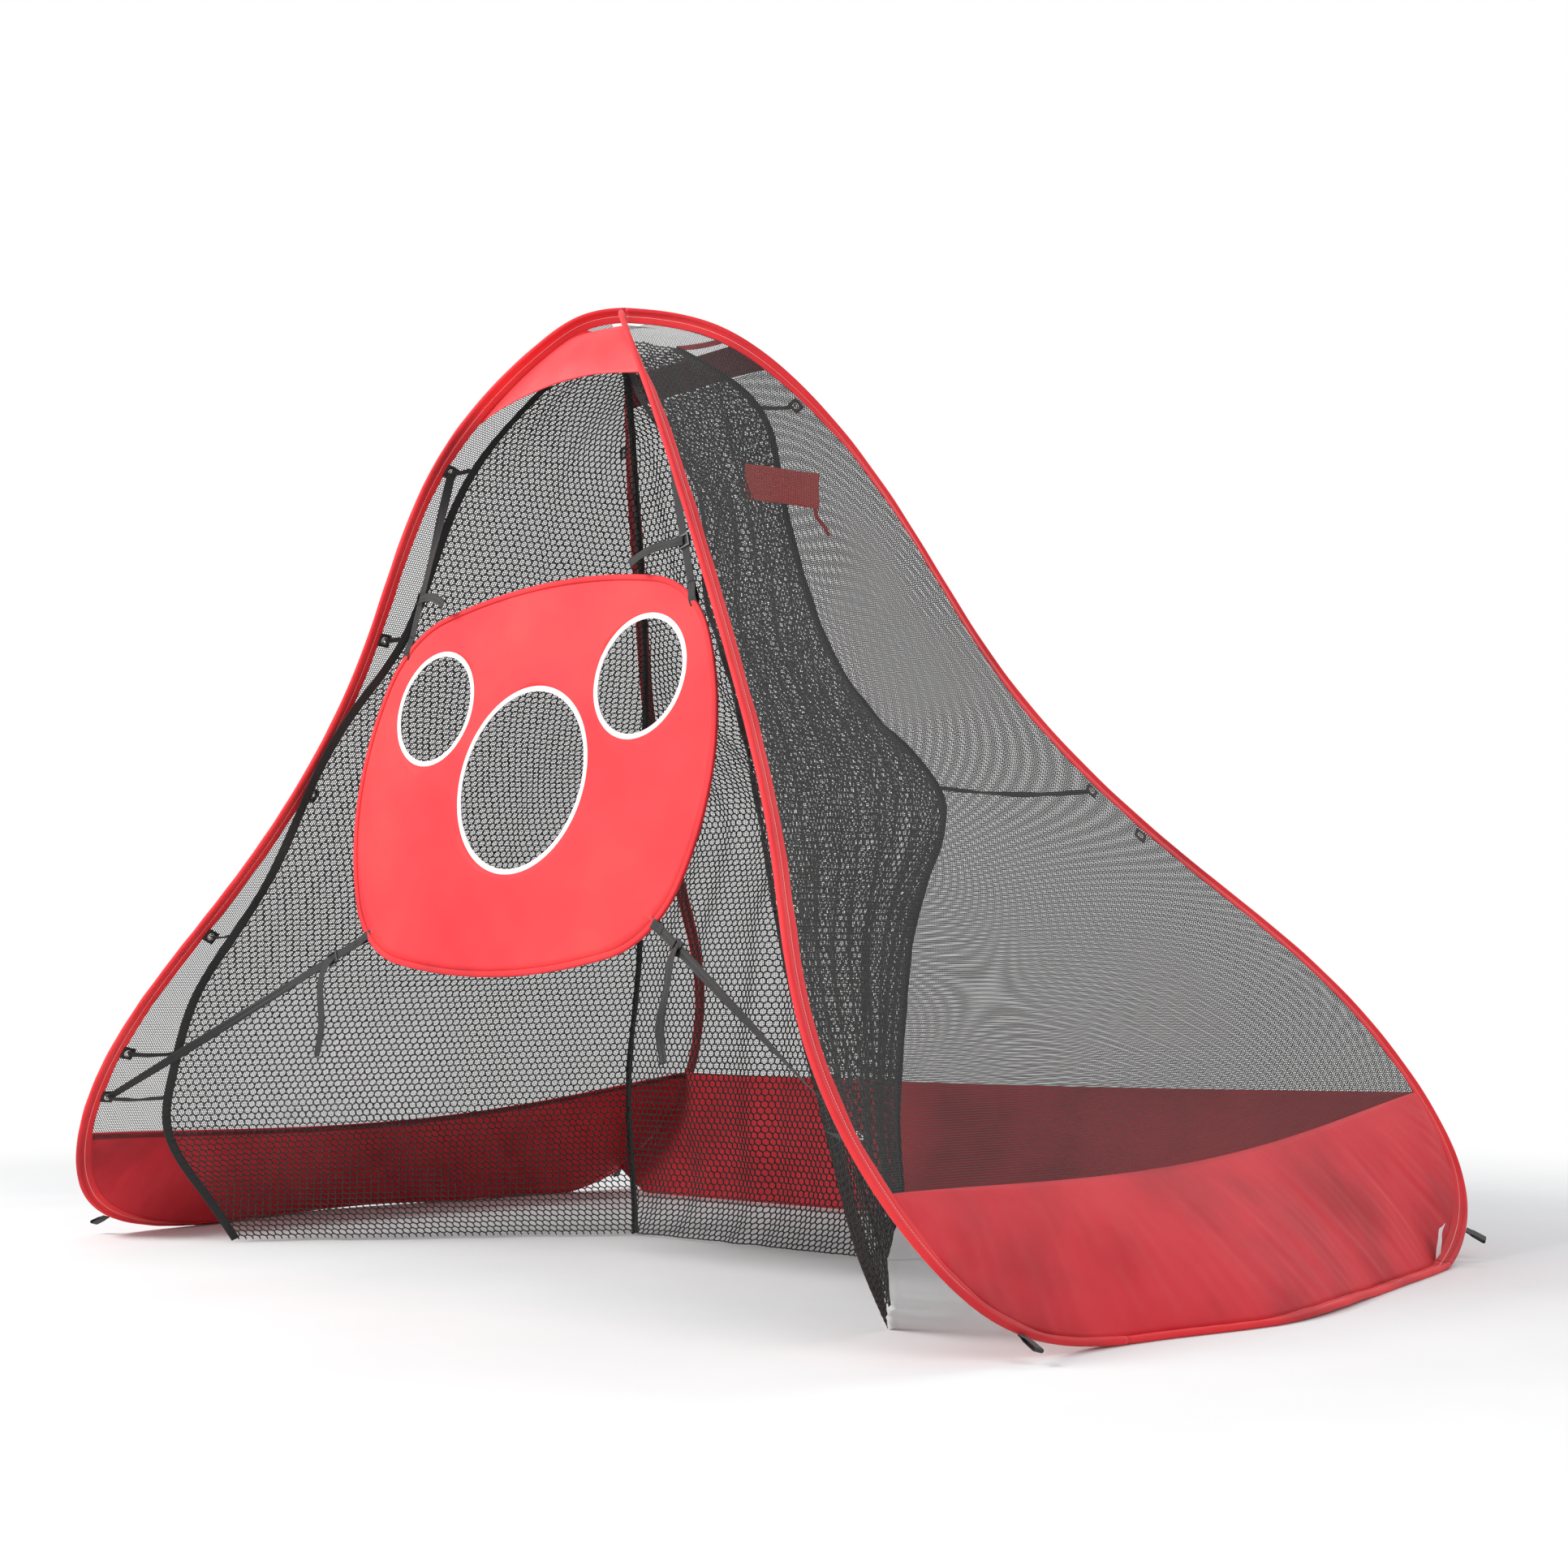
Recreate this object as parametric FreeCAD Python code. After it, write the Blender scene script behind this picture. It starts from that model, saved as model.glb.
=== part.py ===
import FreeCAD, Part
import math
import os

V = FreeCAD.Vector

# A pop-up chipping net, in millimetres.  +Z is up, the open front faces -Y, and the
# plane x = 0 is the plane of symmetry.  The origin is on the ground under the middle.
# Every leg, wall and panel is given for the right side (x > 0) and mirrored.

# ---------------------------------------------------------------- the sprung frame
rod_diameter = 8.0              # sprung fibreglass rod
rod_clearance = 0.5             # rod to the cloth channel around it
rod_sides = 8                   # flats that stand for the rod's round
channel_sides = 6
sleeve_cloth = 1.2              # thickness of the sleeve's cloth
sleeve_width = 36.0             # rod channel and flat hem together
hem_thickness = 2.4             # two layers stitched flat
apex_clearance = 2.0            # between the two arches where they cross
apex = V(0, -421, 2112)         # centre of the upper arch's sleeve
frame_step = 115.0              # spacing of the frame's stations
front_leg = [V(115, -542, 2045), V(326, -664, 1798), V(550, -713, 1344), V(843, -856, 816),
             V(1120, -1015, 366), V(1318, -890, 75)]
floor_run = [V(1376, -555, 0), V(1458, -225, 0), V(1424, 216, 0), V(1362, 680, 0)]
back_leg = [V(1262, 990, 187), V(1086, 961, 498), V(818, 618, 873), V(558, 226, 1310),
            V(388, 9, 1730), V(194, -227, 2041)]
hoop_centre = V(850, 0, 800)    # the flat hems point towards here
hem_settles = 350.0             # over this distance the hems turn to hang straight at the apex
hem_lies_down = 250.0           # below this height the hems turn to lie on the ground
ferrule_length = 80.0           # thin steel sleeve over the rods' ends
ferrule_wall = 0.36
ferrule_clearance = 0.06

# ---------------------------------------------------------------- cloth on the frame
seam_gap = 0.3                  # between pieces that are stitched together
wall_gap = 1.4                  # from a hem's edge to the wall that is stitched to it
mesh_thickness = 0.8
ripstop_thickness = 1.0
wall_drop = 42.0                # the walls start this far below the apex
wall_top = apex.z - wall_drop
wall_rows = 25
strip_front_height = 250.0      # top hem of the red floor strip at the front legs
strip_back_height = 360.0       # and at the back legs
strip_columns = 10
strip_step = 40.0               # spacing of the points where a strip follows a leg
back_strip_corner = 60.0        # the strip's lower corners on the back legs
back_strip_sag = 120.0          # how far the back strip's foot bows in behind the net
flap_bottom = 1868.0            # front flap, from the apex down
flap_belly = 34.0               # its lower edge rises this much to the middle
cap_bottom = 2000.0             # small cap on the back wall

# ---------------------------------------------------------------- the netting bag
net_thickness = 1.5
tape_width = 20.0
tape_thickness = 1.5
net_border = [V(80, -490, 2005), V(170, -559, 1893), V(296, -612, 1746), V(427, -613, 1557),
              V(485, -660, 1364), V(573, -709, 1230), V(650, -744, 1105), V(765, -797, 846),
              V(842, -848, 700), V(915, -890, 567), V(979, -900, 400), V(1012, -890, 270),
              V(990, -800, 116), V(980, -720, 0)]
net_seam = [V(82, -340, 2025), V(215, -182, 1863), V(230, -155, 1735), V(250, -115, 1550),
            V(285, -70, 1380), V(365, 10, 1200), V(480, 115, 991), V(455, 85, 830),
            V(430, 60, 700), V(424, 40, 550), V(423, 20, 389), V(420, 22, 230),
            V(414, 30, 109), V(370, -5, 0)]
net_lift = 1.0                  # the net's foot clears the ground by this

# ---------------------------------------------------------------- grommets and ties
tab_side = 30.0
tab_thickness = 1.6
tab_overlap = 5.0               # how far a tab lies on the sleeve's hem
tab_lift = 1.4                  # between the tab and the hem under it
tab_turn = 8.0                  # degrees that a tab stands off from its stitched edge
tab_past_wall = 0.8             # a back tab's edge to the back wall that it is stitched to
grommet_radius = 9.0
grommet_hole = 5.0
grommet_height = 3.2
eyelet_sides = 10               # flats that stand for a grommet's round
front_grommets = [1765.0, 1389.0, 1047.0, 725.0, 449.0, 342.0]
back_grommets = [1925.0, 1062.0, 965.0]
tie_width = 12.0
tie_thickness = 1.2
tie_gap = 1.9                   # from a tie's end to the tape, whose edge is twisted a little
top_tie_gap = 13.0              # from a top tie's end to the middle of the tape's end

# ---------------------------------------------------------------- the target
target_centre = V(0, -707, 1026)
target_lean = 8.5               # degrees, top to the back
target_width = 1120.0
target_height = 850.0
target_corner_radius = 245.0
target_side_bow = 32.0
target_top_bow = 28.0
side_steps = 3                  # points along half a side, along a corner and round a hole
corner_steps = 7
hole_steps = 32
target_cloth = 1.4
rim_width = 13.0
rim_thickness = 9.0
wire_side = 4.0
middle_hole_radius = 191.0
side_hole_radius = 120.0
side_hole_offset = 324.0
side_hole_rise = 180.0
middle_hole_drop = 8.0
binding_width = 12.0
binding_thickness = 3.0
# where a strap's tab meets the rim, from the centre
target_corner = V(target_width / 2 - 108, 0, target_height / 2 - 95)
target_tab_length = 30.0

# ---------------------------------------------------------------- straps and sliders
strap_width = 20.0
strap_thickness = 1.4
slider_length = 28.0
slider_bar = 4.0
slider_rail = 3.0
slider_thickness = 6.6
slider_clearance = 0.4          # webbing to bar and rail
strap_twists = 4                # steps in which a strap turns from the target to the leg
strap_lift = 0.8                # between a grommet and the strap that is looped on it
tie_over_strap = 1.8            # a net tie that shares the grommet lies over the strap
upper_slider_place = 92.0       # slider's middle from the target's tab
lower_slider_place = 70.0
upper_tail_lift = 0.3           # from a slider's face to its tail's root, at the root's middle
lower_tail_lift = -0.9
tail_drop = [V(0, 0, 0), V(3, -16, -22), V(4, -26, -70), V(-10, -30, -140), V(2, -32, -215)]
upper_tail = [V(0, 0, 0), V(-38, -10, -4), V(-82, -22, -14), V(-122, -30, -34)]

# ---------------------------------------------------------------- loops and labels
loop_length = 46.0
loop_root = 9.0                 # stitched part of a loop, nearest the sleeve
loop_width = 20.0
loop_height = 8.0
loop_webbing = 1.4
loop_gap = 0.8
loop_front_y = -800.0
loop_back_y = 840.0
care_label_size = (42.0, 1.0, 68.0)
care_label_y = 660.0
care_label_inset = 8.0          # from the hem's edge
care_label_lift = 2.7           # clear of the sleeve when the label is folded over it
flag_size = (185.0, 1.2, 80.0)
flag_place = V(267.6, -310, 1690)
flag_way = V(0.35, 0.93, 0)
ribbon_width = 9.0
ribbon_thickness = 0.8
ribbon_drop = [V(0, 0, 0), V(0, 0, -10), V(10, 14, -36), V(20, 22, -60)]
top_tie_height = wall_top - 8

# ================================================================ geometry helpers
flat_share = math.cos(math.pi / channel_sides)
channel_radius = (rod_diameter / 2 + rod_clearance) / flat_share
bulb_radius = channel_radius + sleeve_cloth / flat_share
ground = bulb_radius * flat_share
hem_reach = sleeve_width - bulb_radius
flat_limit = 1e-8               # a patch's fourth corner this near the plane counts as in it


def unit(vector):
    return V(vector).normalize()


def mirrored(point):
    return V(-point.x, point.y, point.z)


def mix(a, b, share):
    return a * (1 - share) + b * share


class Station:
    """A place on the frame: its point, its direction, the way the hem points and the side."""

    def __init__(self, point, along, hem, side):
        self.point, self.along, self.hem, self.side = point, along, hem, side

    def at(self, hem, side=0.0):
        return self.point + self.hem * hem + self.side * side

    def mirror(self):
        return Station(*[mirrored(v) for v in (self.point, self.along, self.hem, self.side)])


def blend(a, b, share):
    """The station between two others, by straight lines."""
    hem = unit(mix(a.hem, b.hem, share))
    side = unit(mix(a.side, b.side, share))
    return Station(mix(a.point, b.point, share), unit(b.point - a.point), hem, side)


def hem_direction(point, along):
    """Towards the hoop's middle, but straight down at the apex and flat on the ground."""
    towards = hoop_centre - point
    spread = min(1.0, point.x / hem_settles)
    lean = min(1.0, max(0.0, point.z - ground) / hem_lies_down)
    towards = V(towards.x * spread, towards.y * spread, towards.z * lean)
    return unit(towards - along * towards.dot(along))


def hoop_stations(front_apex, back_apex):
    """Right-hand hoop: down the front leg, along the ground and up the back leg."""
    floor = [V(p.x, p.y, ground) for p in floor_run]
    curve = Part.BSplineCurve()
    curve.interpolate([front_apex] + front_leg + floor + back_leg + [back_apex],
                      InitialTangent=V(1, -1, -0.05), FinalTangent=V(-1, -1, 0.05), Scale=False)
    length = curve.length()
    count = round(length / frame_step)
    stations = []
    for i in range(count + 1):
        parameter = curve.parameterAtDistance(length * i / count)
        point, along = curve.value(parameter), unit(curve.tangent(parameter)[0])
        point.z = max(point.z, ground)
        if point.z == ground or 0 < i < count and abs(point.z - ground) < 1:
            along = unit(V(along.x, along.y, 0))
        if i in (0, count):
            point.x = 0
            along = unit(V(along.x, along.y, 0))
        hem = hem_direction(point, along)
        stations.append(Station(point, along, hem, along.cross(hem)))
    return stations


def at_height(leg, z):
    """The station where a leg, listed from the apex down, passes a height."""
    for upper, lower in zip(leg, leg[1:]):
        if upper.point.z >= z > lower.point.z:
            share = (upper.point.z - z) / (upper.point.z - lower.point.z)
            return blend(upper, lower, share)
    raise ValueError(f"the leg has no place at height {z}")


def polygon(points):
    return Part.makePolygon(points + points[:1])


def closed_solid(faces):
    """Sews faces that meet edge to edge into one solid."""
    skin = Part.makeCompound(faces)
    skin.sewShape()
    solid = Part.makeSolid(skin.Shells[0])
    if solid.Volume < 0:
        solid.reverse()
    return solid


def patch(a, b, c, d):
    """A four-cornered patch: one flat face, or two flat halves where it is twisted."""
    normal = (b - a).cross(c - a)
    if abs(normal.dot(d - a)) < flat_limit * normal.Length:
        return [Part.Face(polygon([a, b, c, d]))]
    return [Part.Face(polygon([a, b, c])), Part.Face(polygon([a, c, d]))]


def patches_between(first, second, closed, matched=False):
    """Patches between two lines of points, or between two closed outlines.  Matched patches
    split the two sides of a thin band along the same diagonal, so that they never cross."""
    faces = []
    count = len(first) if closed else len(first) - 1
    for i in range(count):
        j = (i + 1) % len(first)
        if matched and i >= count / 2:
            faces += patch(first[j], second[j], second[i], first[i])
        else:
            faces += patch(first[i], first[j], second[j], second[i])
    return faces


def tube(outlines, channels=(), matched=False):
    """Straight-ruled solid through flat outlines, with a channel through it if one is given."""
    faces = []
    for outline_set in (outlines, channels):
        for first, second in zip(outline_set, outline_set[1:]):
            faces += patches_between(first, second, True, matched)
    for end in (0, -1):
        cap = Part.Face(polygon(outlines[end]))
        faces.append(cap.cut(Part.Face(polygon(channels[end]))).Faces[0] if channels else cap)
    return closed_solid(faces)


def ring_points(station, radius, sides, turned):
    """Corners of a regular outline round the rod, with a flat side towards the ground."""
    flip = -1 if turned else 1
    corners = []
    for i in range(sides):
        angle = 2 * math.pi * i / sides + (math.pi / sides if sides == rod_sides else 0)
        corners.append(station.at(radius * math.cos(angle), flip * radius * math.sin(angle)))
    return corners


def sleeve_outline(station):
    """Rod channel with the flat stitched hem beside it."""
    half = hem_thickness / 2
    third = math.pi / 3
    corners = [(-bulb_radius, 0)]
    corners += [(-bulb_radius * math.cos(third), bulb_radius * math.sin(third))]
    corners += [(bulb_radius * math.cos(third), bulb_radius * math.sin(third))]
    corners += [(bulb_radius * 1.2, half), (hem_reach, half)]
    corners += [(a, -b) for a, b in reversed(corners[1:])]
    return [station.at(a, b) for a, b in corners]


def sleeve(stations):
    channels = [ring_points(s, channel_radius, channel_sides, False) for s in stations]
    return tube([sleeve_outline(s) for s in stations], channels)


def sheet(rows, thickness):
    """Closed thin solid on a grid of points, rows from top to bottom."""
    front, back = [], []
    for i, row in enumerate(rows):
        above, below = rows[max(i - 1, 0)], rows[min(i + 1, len(rows) - 1)]
        front.append([])
        back.append([])
        for j, point in enumerate(row):
            across = row[min(j + 1, len(row) - 1)] - row[max(j - 1, 0)]
            normal = unit(across.cross(below[j] - above[j]))
            front[i].append(point + normal * thickness / 2)
            back[i].append(point - normal * thickness / 2)
    faces = []
    for grid in (front, back):
        for upper, lower in zip(grid, grid[1:]):
            faces += patches_between(upper, lower, False)
    for edge in (0, -1):
        faces += patches_between(front[edge], back[edge], False)
        faces += patches_between([row[edge] for row in front], [row[edge] for row in back], False)
    return closed_solid(faces)


def band(points, faces, width, thickness):
    """Webbing along points; faces gives the way its flat side looks at each point."""
    outlines = []
    for i, point in enumerate(points):
        along = unit(points[min(i + 1, len(points) - 1)] - points[max(i - 1, 0)])
        face = faces[i] if isinstance(faces, list) else faces
        out = unit(face - along * face.dot(along))
        across = along.cross(out)
        corners = [(1, 1), (-1, 1), (-1, -1), (1, -1)]
        outlines.append([point + across * a * width / 2 + out * b * thickness / 2
                         for a, b in corners])
    return tube(outlines, matched=True)


def local_box(origin, axes, low, high):
    """Box between two corners given along three unit vectors from an origin."""
    a, b, c = axes
    base = [(low[0], low[1]), (high[0], low[1]), (high[0], high[1]), (low[0], high[1])]
    face = Part.Face(polygon([origin + a * u + b * v + c * low[2] for u, v in base]))
    return face.extrude(c * (high[2] - low[2]))


def save(name, shapes):
    shapes = shapes if isinstance(shapes, list) else [shapes]
    solids = [solid for shape in shapes for solid in shape.Solids]
    for solid in solids:
        if not solid.isValid() or solid.Volume <= 0:
            print("check", name, solid.isValid(), round(solid.Volume, 1))
    shape = solids[0] if len(solids) == 1 else Part.makeCompound(solids)
    shape.exportStep(f"parts/{name}.step")


def mirror_shape(shape):
    return shape.mirror(V(0, 0, 0), V(1, 0, 0))


# ================================================================ the frame
lower_apex = apex - V(0, 0, sleeve_width + apex_clearance)
right_hoop = hoop_stations(lower_apex, apex)
left_hoop = [s.mirror() for s in hoop_stations(apex, lower_apex)]


def split_hoop(hoop):
    """Front leg, ground run and back leg, as lists of stations that share their ends."""
    low = [i for i, s in enumerate(hoop) if s.point.z < ground + 1]
    first, last = low[0] - 1, low[-1] + 1
    return hoop[:first + 1], hoop[first:last + 1], hoop[last:]


front_right, floor_right, back_right = split_hoop(right_hoop)
front_left, floor_left, back_left = split_hoop(left_hoop)
back_right_down, back_left_down = back_right[::-1], back_left[::-1]


def nearest_on_ground(stations, y):
    return min(stations, key=lambda s: abs(s.point.y - y))


def rod(first_half, second_half):
    """One rod over the apex; the first half runs up to it and the second half down."""
    outlines = [ring_points(s, rod_diameter / 2, rod_sides, True) for s in first_half]
    outlines += [ring_points(s, rod_diameter / 2, rod_sides, False) for s in second_half[1:]]
    return tube(outlines)


def ferrule(before, middle, after):
    """Steel tube over the two rods' ends, following their slight bend."""
    inner = rod_diameter / 2 + ferrule_clearance
    places = [blend(middle, end, ferrule_length / 2 / middle.point.distanceToPoint(end.point))
              for end in (before, after)]
    places.insert(1, middle)
    return tube([ring_points(s, inner + ferrule_wall, rod_sides, False) for s in places],
                [ring_points(s, inner, rod_sides, False) for s in places])


def half_hoops(hoop):
    """The hoop cut at the middle of its ground run."""
    middle = hoop.index(nearest_on_ground([s for s in hoop if s.point.z < ground + 1], 0.0))
    return hoop[:middle + 1], hoop[middle:]


def build_frame():
    right_front, right_back = half_hoops(right_hoop)
    left_front, left_back = half_hoops(left_hoop)
    save("rod_upper_arch", rod(left_front[::-1], right_back[::-1]))
    save("rod_lower_arch", rod(right_front[::-1], left_back[::-1]))
    save("rod_ferrules", [ferrule(front[-2], front[-1], back[1]) for front, back in
                          ((right_front, right_back), (left_front, left_back))])
    save("sleeve_front_right", sleeve(front_right))
    save("sleeve_front_left", sleeve(front_left))
    save("sleeve_floor_right", sleeve(floor_right))
    save("sleeve_floor_left", sleeve(floor_left))
    save("sleeve_back_right", sleeve(back_right))
    save("sleeve_back_left", sleeve(back_left))


# ================================================================ cloth on the frame
def seam_point(station, side=0.0):
    """Just past the hem's edge; a negative side is towards the net's middle."""
    return station.at(hem_reach + wall_gap, side)


def wall_row(front, back):
    return [seam_point(front), seam_point(back)]


def side_wall(front, back):
    rows = []
    for i in range(wall_rows + 1):
        share = i / wall_rows
        z_front = wall_top * (1 - share) + (strip_front_height + seam_gap) * share
        z_back = wall_top * (1 - share) + (strip_back_height + seam_gap) * share
        rows.append(wall_row(at_height(front, z_front), at_height(back, z_back)))
    return sheet(rows, mesh_thickness)


def low_part(leg, top, step):
    """Stations of a leg below a height, from the height down to the leg's foot."""
    heights = [top]
    while heights[-1] - step > leg[-1].point.z + step / 2:
        heights.append(heights[-1] - step)
    return [at_height(leg, z) for z in heights] + [leg[-1]]


def side_strip(front, floor, back):
    """Floor strip of one side: straight top hem, and an edge that follows the hoop."""
    edge = low_part(front, strip_front_height, strip_step) + floor[1:-1]
    edge += low_part(back, strip_back_height, strip_step)[::-1]
    foot = [seam_point(s) for s in edge]
    reach = [0.0]
    for a, b in zip(foot, foot[1:]):
        reach.append(reach[-1] + a.distanceToPoint(b))
    head = [mix(foot[0], foot[-1], r / reach[-1]) for r in reach]
    middle = [mix(h, f, 0.5) for h, f in zip(head, foot)]
    trim = slice(1, -1)
    return sheet([head[trim], middle[trim], foot[trim]], ripstop_thickness)


inner_side = -(hem_thickness / 2 + seam_gap + ripstop_thickness / 2)


def cross_row(right, left, columns=1):
    a, b = seam_point(right, inner_side), seam_point(left, inner_side)
    return [mix(a, b, i / columns) for i in range(columns + 1)]


def cross_panel(right, left, top, bottom, rows, thickness):
    """A panel from leg to leg across the plane of symmetry."""
    heights = [top + (bottom - top) * i / rows for i in range(rows + 1)]
    return sheet([cross_row(at_height(right, z), at_height(left, z)) for z in heights], thickness)


def front_flap():
    rows = []
    for i in range(5):
        z = wall_top - 14 + (flap_bottom - wall_top + 14) * i / 4
        row = cross_row(at_height(front_right, z), at_height(front_left, z), 6)
        lift = [flap_belly * (i / 4) * (1 - (2 * j / 6 - 1) ** 2) for j in range(7)]
        rows.append([point + V(0, 0, rise) for point, rise in zip(row, lift)])
    return sheet(rows, ripstop_thickness)


def back_strip():
    """Back floor strip: its ends follow the legs, its foot lies on the ground and bows in."""
    columns = strip_columns
    rows = []
    heights = [strip_back_height, (strip_back_height + back_strip_corner) / 2, back_strip_corner]
    for share, z in zip((0.0, 0.5, 1.0), heights):
        ends = at_height(back_right_down, z), at_height(back_left_down, z)
        row = cross_row(*ends, columns)
        for i, point in enumerate(row):
            bow = min(1.0, 3 * (1 - (2 * i / columns - 1) ** 2))
            drop = (strip_back_height + (ripstop_thickness - strip_back_height) * share - z) * bow
            row[i] = point + V(0, -back_strip_sag * bow * share, drop)
        rows.append(row)
    return sheet(rows, ripstop_thickness)


def build_cloth():
    save("mesh_wall_right", side_wall(front_right, back_right_down))
    save("mesh_wall_left", side_wall(front_left, back_left_down))
    save("mesh_wall_back", cross_panel(back_right_down, back_left_down, cap_bottom - seam_gap,
                                       strip_back_height + seam_gap, wall_rows, mesh_thickness))
    save("floor_strip_right", side_strip(front_right, floor_right, back_right_down))
    save("floor_strip_left", side_strip(front_left, floor_left, back_left_down))
    save("floor_strip_back", back_strip())
    save("top_flap_front", front_flap())
    save("top_cap_back", cross_panel(back_right_down, back_left_down, wall_top - 14, cap_bottom,
                                     2, ripstop_thickness))


# ================================================================ the netting bag
def lifted(points):
    """The last point stands just above the ground, also at the tape's slanted end."""
    return points[:-1] + [V(points[-1].x, points[-1].y, net_lift + tape_width / 4)]


border = lifted(net_border)
seam = lifted(net_seam)
tape_reach = tape_width / 2 + seam_gap


def edge_rows(points, partners):
    """For each point of a tape: the way across it to the panel, and the way it looks."""
    rows = []
    for i, point in enumerate(points):
        along = unit(points[min(i + 1, len(points) - 1)] - points[max(i - 1, 0)])
        towards = partners[i] - point
        across = unit(towards - along * towards.dot(along))
        rows.append((across, along.cross(across)))
    return rows


def panel_edge(points, partners):
    return [p + across * tape_reach for p, (across, _) in zip(points, edge_rows(points, partners))]


def panel(points, partners):
    """Netting between two tapes."""
    rows = zip(panel_edge(points, partners), panel_edge(partners, points))
    return sheet([list(row) for row in rows], net_thickness)


def build_net():
    seam_left = [mirrored(p) for p in seam]
    net_right = panel(border, seam)
    save("net_right", net_right)
    save("net_left", mirror_shape(net_right))
    save("net_back", panel(seam, seam_left))
    border_faces = [face for _, face in edge_rows(border, seam)]
    seam_faces = [face for _, face in edge_rows(seam, seam_left)]
    border_tape = band(border, border_faces, tape_width, tape_thickness)
    seam_tape = band(seam, seam_faces, tape_width, tape_thickness)
    save("net_border_tape_right", border_tape)
    save("net_border_tape_left", mirror_shape(border_tape))
    save("net_seam_tape_right", seam_tape)
    save("net_seam_tape_left", mirror_shape(seam_tape))


# ================================================================ grommets and ties
def tab_place(station, past_wall):
    """A tab's own station: its middle on the net's side, its stitched edge on the hem or wall."""
    rise = hem_thickness / 2 + tab_lift + tab_thickness / 2
    edge = -tab_overlap
    if past_wall:
        rise += tab_past_wall
        edge = wall_gap + ripstop_thickness / 2 + tab_past_wall
    turn = math.radians(tab_turn)
    hem = station.hem * math.cos(turn) - station.side * math.sin(turn)
    side = station.side * math.cos(turn) + station.hem * math.sin(turn)
    middle = station.at(hem_reach + edge, -rise) + hem * tab_side / 2
    return Station(middle, unit(side.cross(hem)), hem, side)


def eyelet(centre, axes, radius, height):
    """Short round drum, drawn with flats, along the third of its axes."""
    a, b, c = axes
    turns = [2 * math.pi * i / eyelet_sides for i in range(eyelet_sides)]
    rim = [centre + a * radius * math.cos(t) + b * radius * math.sin(t) for t in turns]
    return Part.Face(polygon([p - c * height / 2 for p in rim])).extrude(c * height)


def grommet_tab(place):
    axes = (place.hem, place.along, place.side)
    half = tab_side / 2
    plate = local_box(place.point, axes, (-half, -half, -tab_thickness / 2),
                      (half, half, tab_thickness / 2))
    return plate.cut(eyelet(place.point, axes, grommet_radius + seam_gap, grommet_height))


def grommet(place):
    axes = (place.hem, place.along, place.side)
    ring = eyelet(place.point, axes, grommet_radius, grommet_height)
    return ring.cut(eyelet(place.point, axes, grommet_hole, grommet_height))


def along_line(points, z):
    """Where a line of points, listed downwards, passes a height."""
    for upper, lower in zip(points, points[1:]):
        if upper.z >= z > lower.z:
            return mix(upper, lower, (upper.z - z) / (upper.z - lower.z))
    return points[0]


def tie(start, face, end, edge):
    """Flat tie whose far end is cut along an edge of the tape that it is stitched to."""
    along = unit(end - start)
    across = unit(along.cross(face))
    outlines = []
    for point, way in ((start, across), (end, edge if edge.dot(across) > 0 else -edge)):
        out = unit(way.cross(along))
        outlines.append([point + way * a * tie_width / 2 + out * b * tie_thickness / 2
                         for a, b in ((1, 1), (-1, 1), (-1, -1), (1, -1))])
    return tube(outlines, matched=True)


def net_tie(place, lift, line, partner_line):
    """Webbing from a grommet to the tape of the net."""
    z = place.point.z
    start = place.at(0, -(grommet_height / 2 + lift + tie_thickness / 2))
    goal = along_line(line, z)
    edge = unit(along_line(line, z - tie_width) - goal)
    away = goal - along_line(partner_line, z)
    away = unit(away - edge * away.dot(edge))
    return tie(start, -place.side, goal + away * (tape_width / 2 + tie_gap), edge)


def ties_on(leg, heights, past_wall, line, partner_line):
    tabs, rings, ties = [], [], []
    for z in heights:
        place = tab_place(at_height(leg, z), past_wall)
        shared = not past_wall and z in (heights[0], heights[-1])
        lift = strap_lift + strap_thickness + tie_over_strap if shared else seam_gap
        tabs.append(grommet_tab(place))
        rings.append(grommet(place))
        if not past_wall or z != heights[-1]:       # the lowest back grommet is spare
            ties.append(net_tie(place, lift, line, partner_line))
    return tabs, rings, ties


def build_ties():
    seam_left = [mirrored(p) for p in seam]
    border_left = [mirrored(p) for p in border]
    sets = {
        "front_right": ties_on(front_right, front_grommets, False, border, seam),
        "front_left": ties_on(front_left, front_grommets, False, border_left, seam_left),
        "back_right": ties_on(back_right_down, back_grommets, True, seam, seam_left),
        "back_left": ties_on(back_left_down, back_grommets, True, seam_left, seam),
    }
    save("grommet_tabs_front", sets["front_right"][0] + sets["front_left"][0])
    save("grommet_tabs_back", sets["back_right"][0] + sets["back_left"][0])
    save("grommets_front", sets["front_right"][1] + sets["front_left"][1])
    save("grommets_back", sets["back_right"][1] + sets["back_left"][1])
    save("net_ties_front", sets["front_right"][2] + sets["front_left"][2])
    save("net_ties_back", sets["back_right"][2] + sets["back_left"][2])


# ================================================================ the target
lean = math.radians(target_lean)
target_right = V(1, 0, 0)
target_up = V(0, math.sin(lean), math.cos(lean))
target_out = V(0, -math.cos(lean), math.sin(lean))


def on_target(x, up, out=0.0):
    return target_centre + target_right * x + target_up * up + target_out * out


def bowed_radius(across, rise, corner):
    """Radius of a bowed side that runs smoothly into two corner arcs."""
    return (across ** 2 + rise ** 2 - corner ** 2) / (2 * (rise - corner))


def arc_points(centre, radius, start, end, steps):
    """Points along an arc in the target's plane, leaving out the last one."""
    turns = [start + (end - start) * i / steps for i in range(steps)]
    return [(centre[0] + radius * math.cos(t), centre[1] + radius * math.sin(t)) for t in turns]


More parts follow.
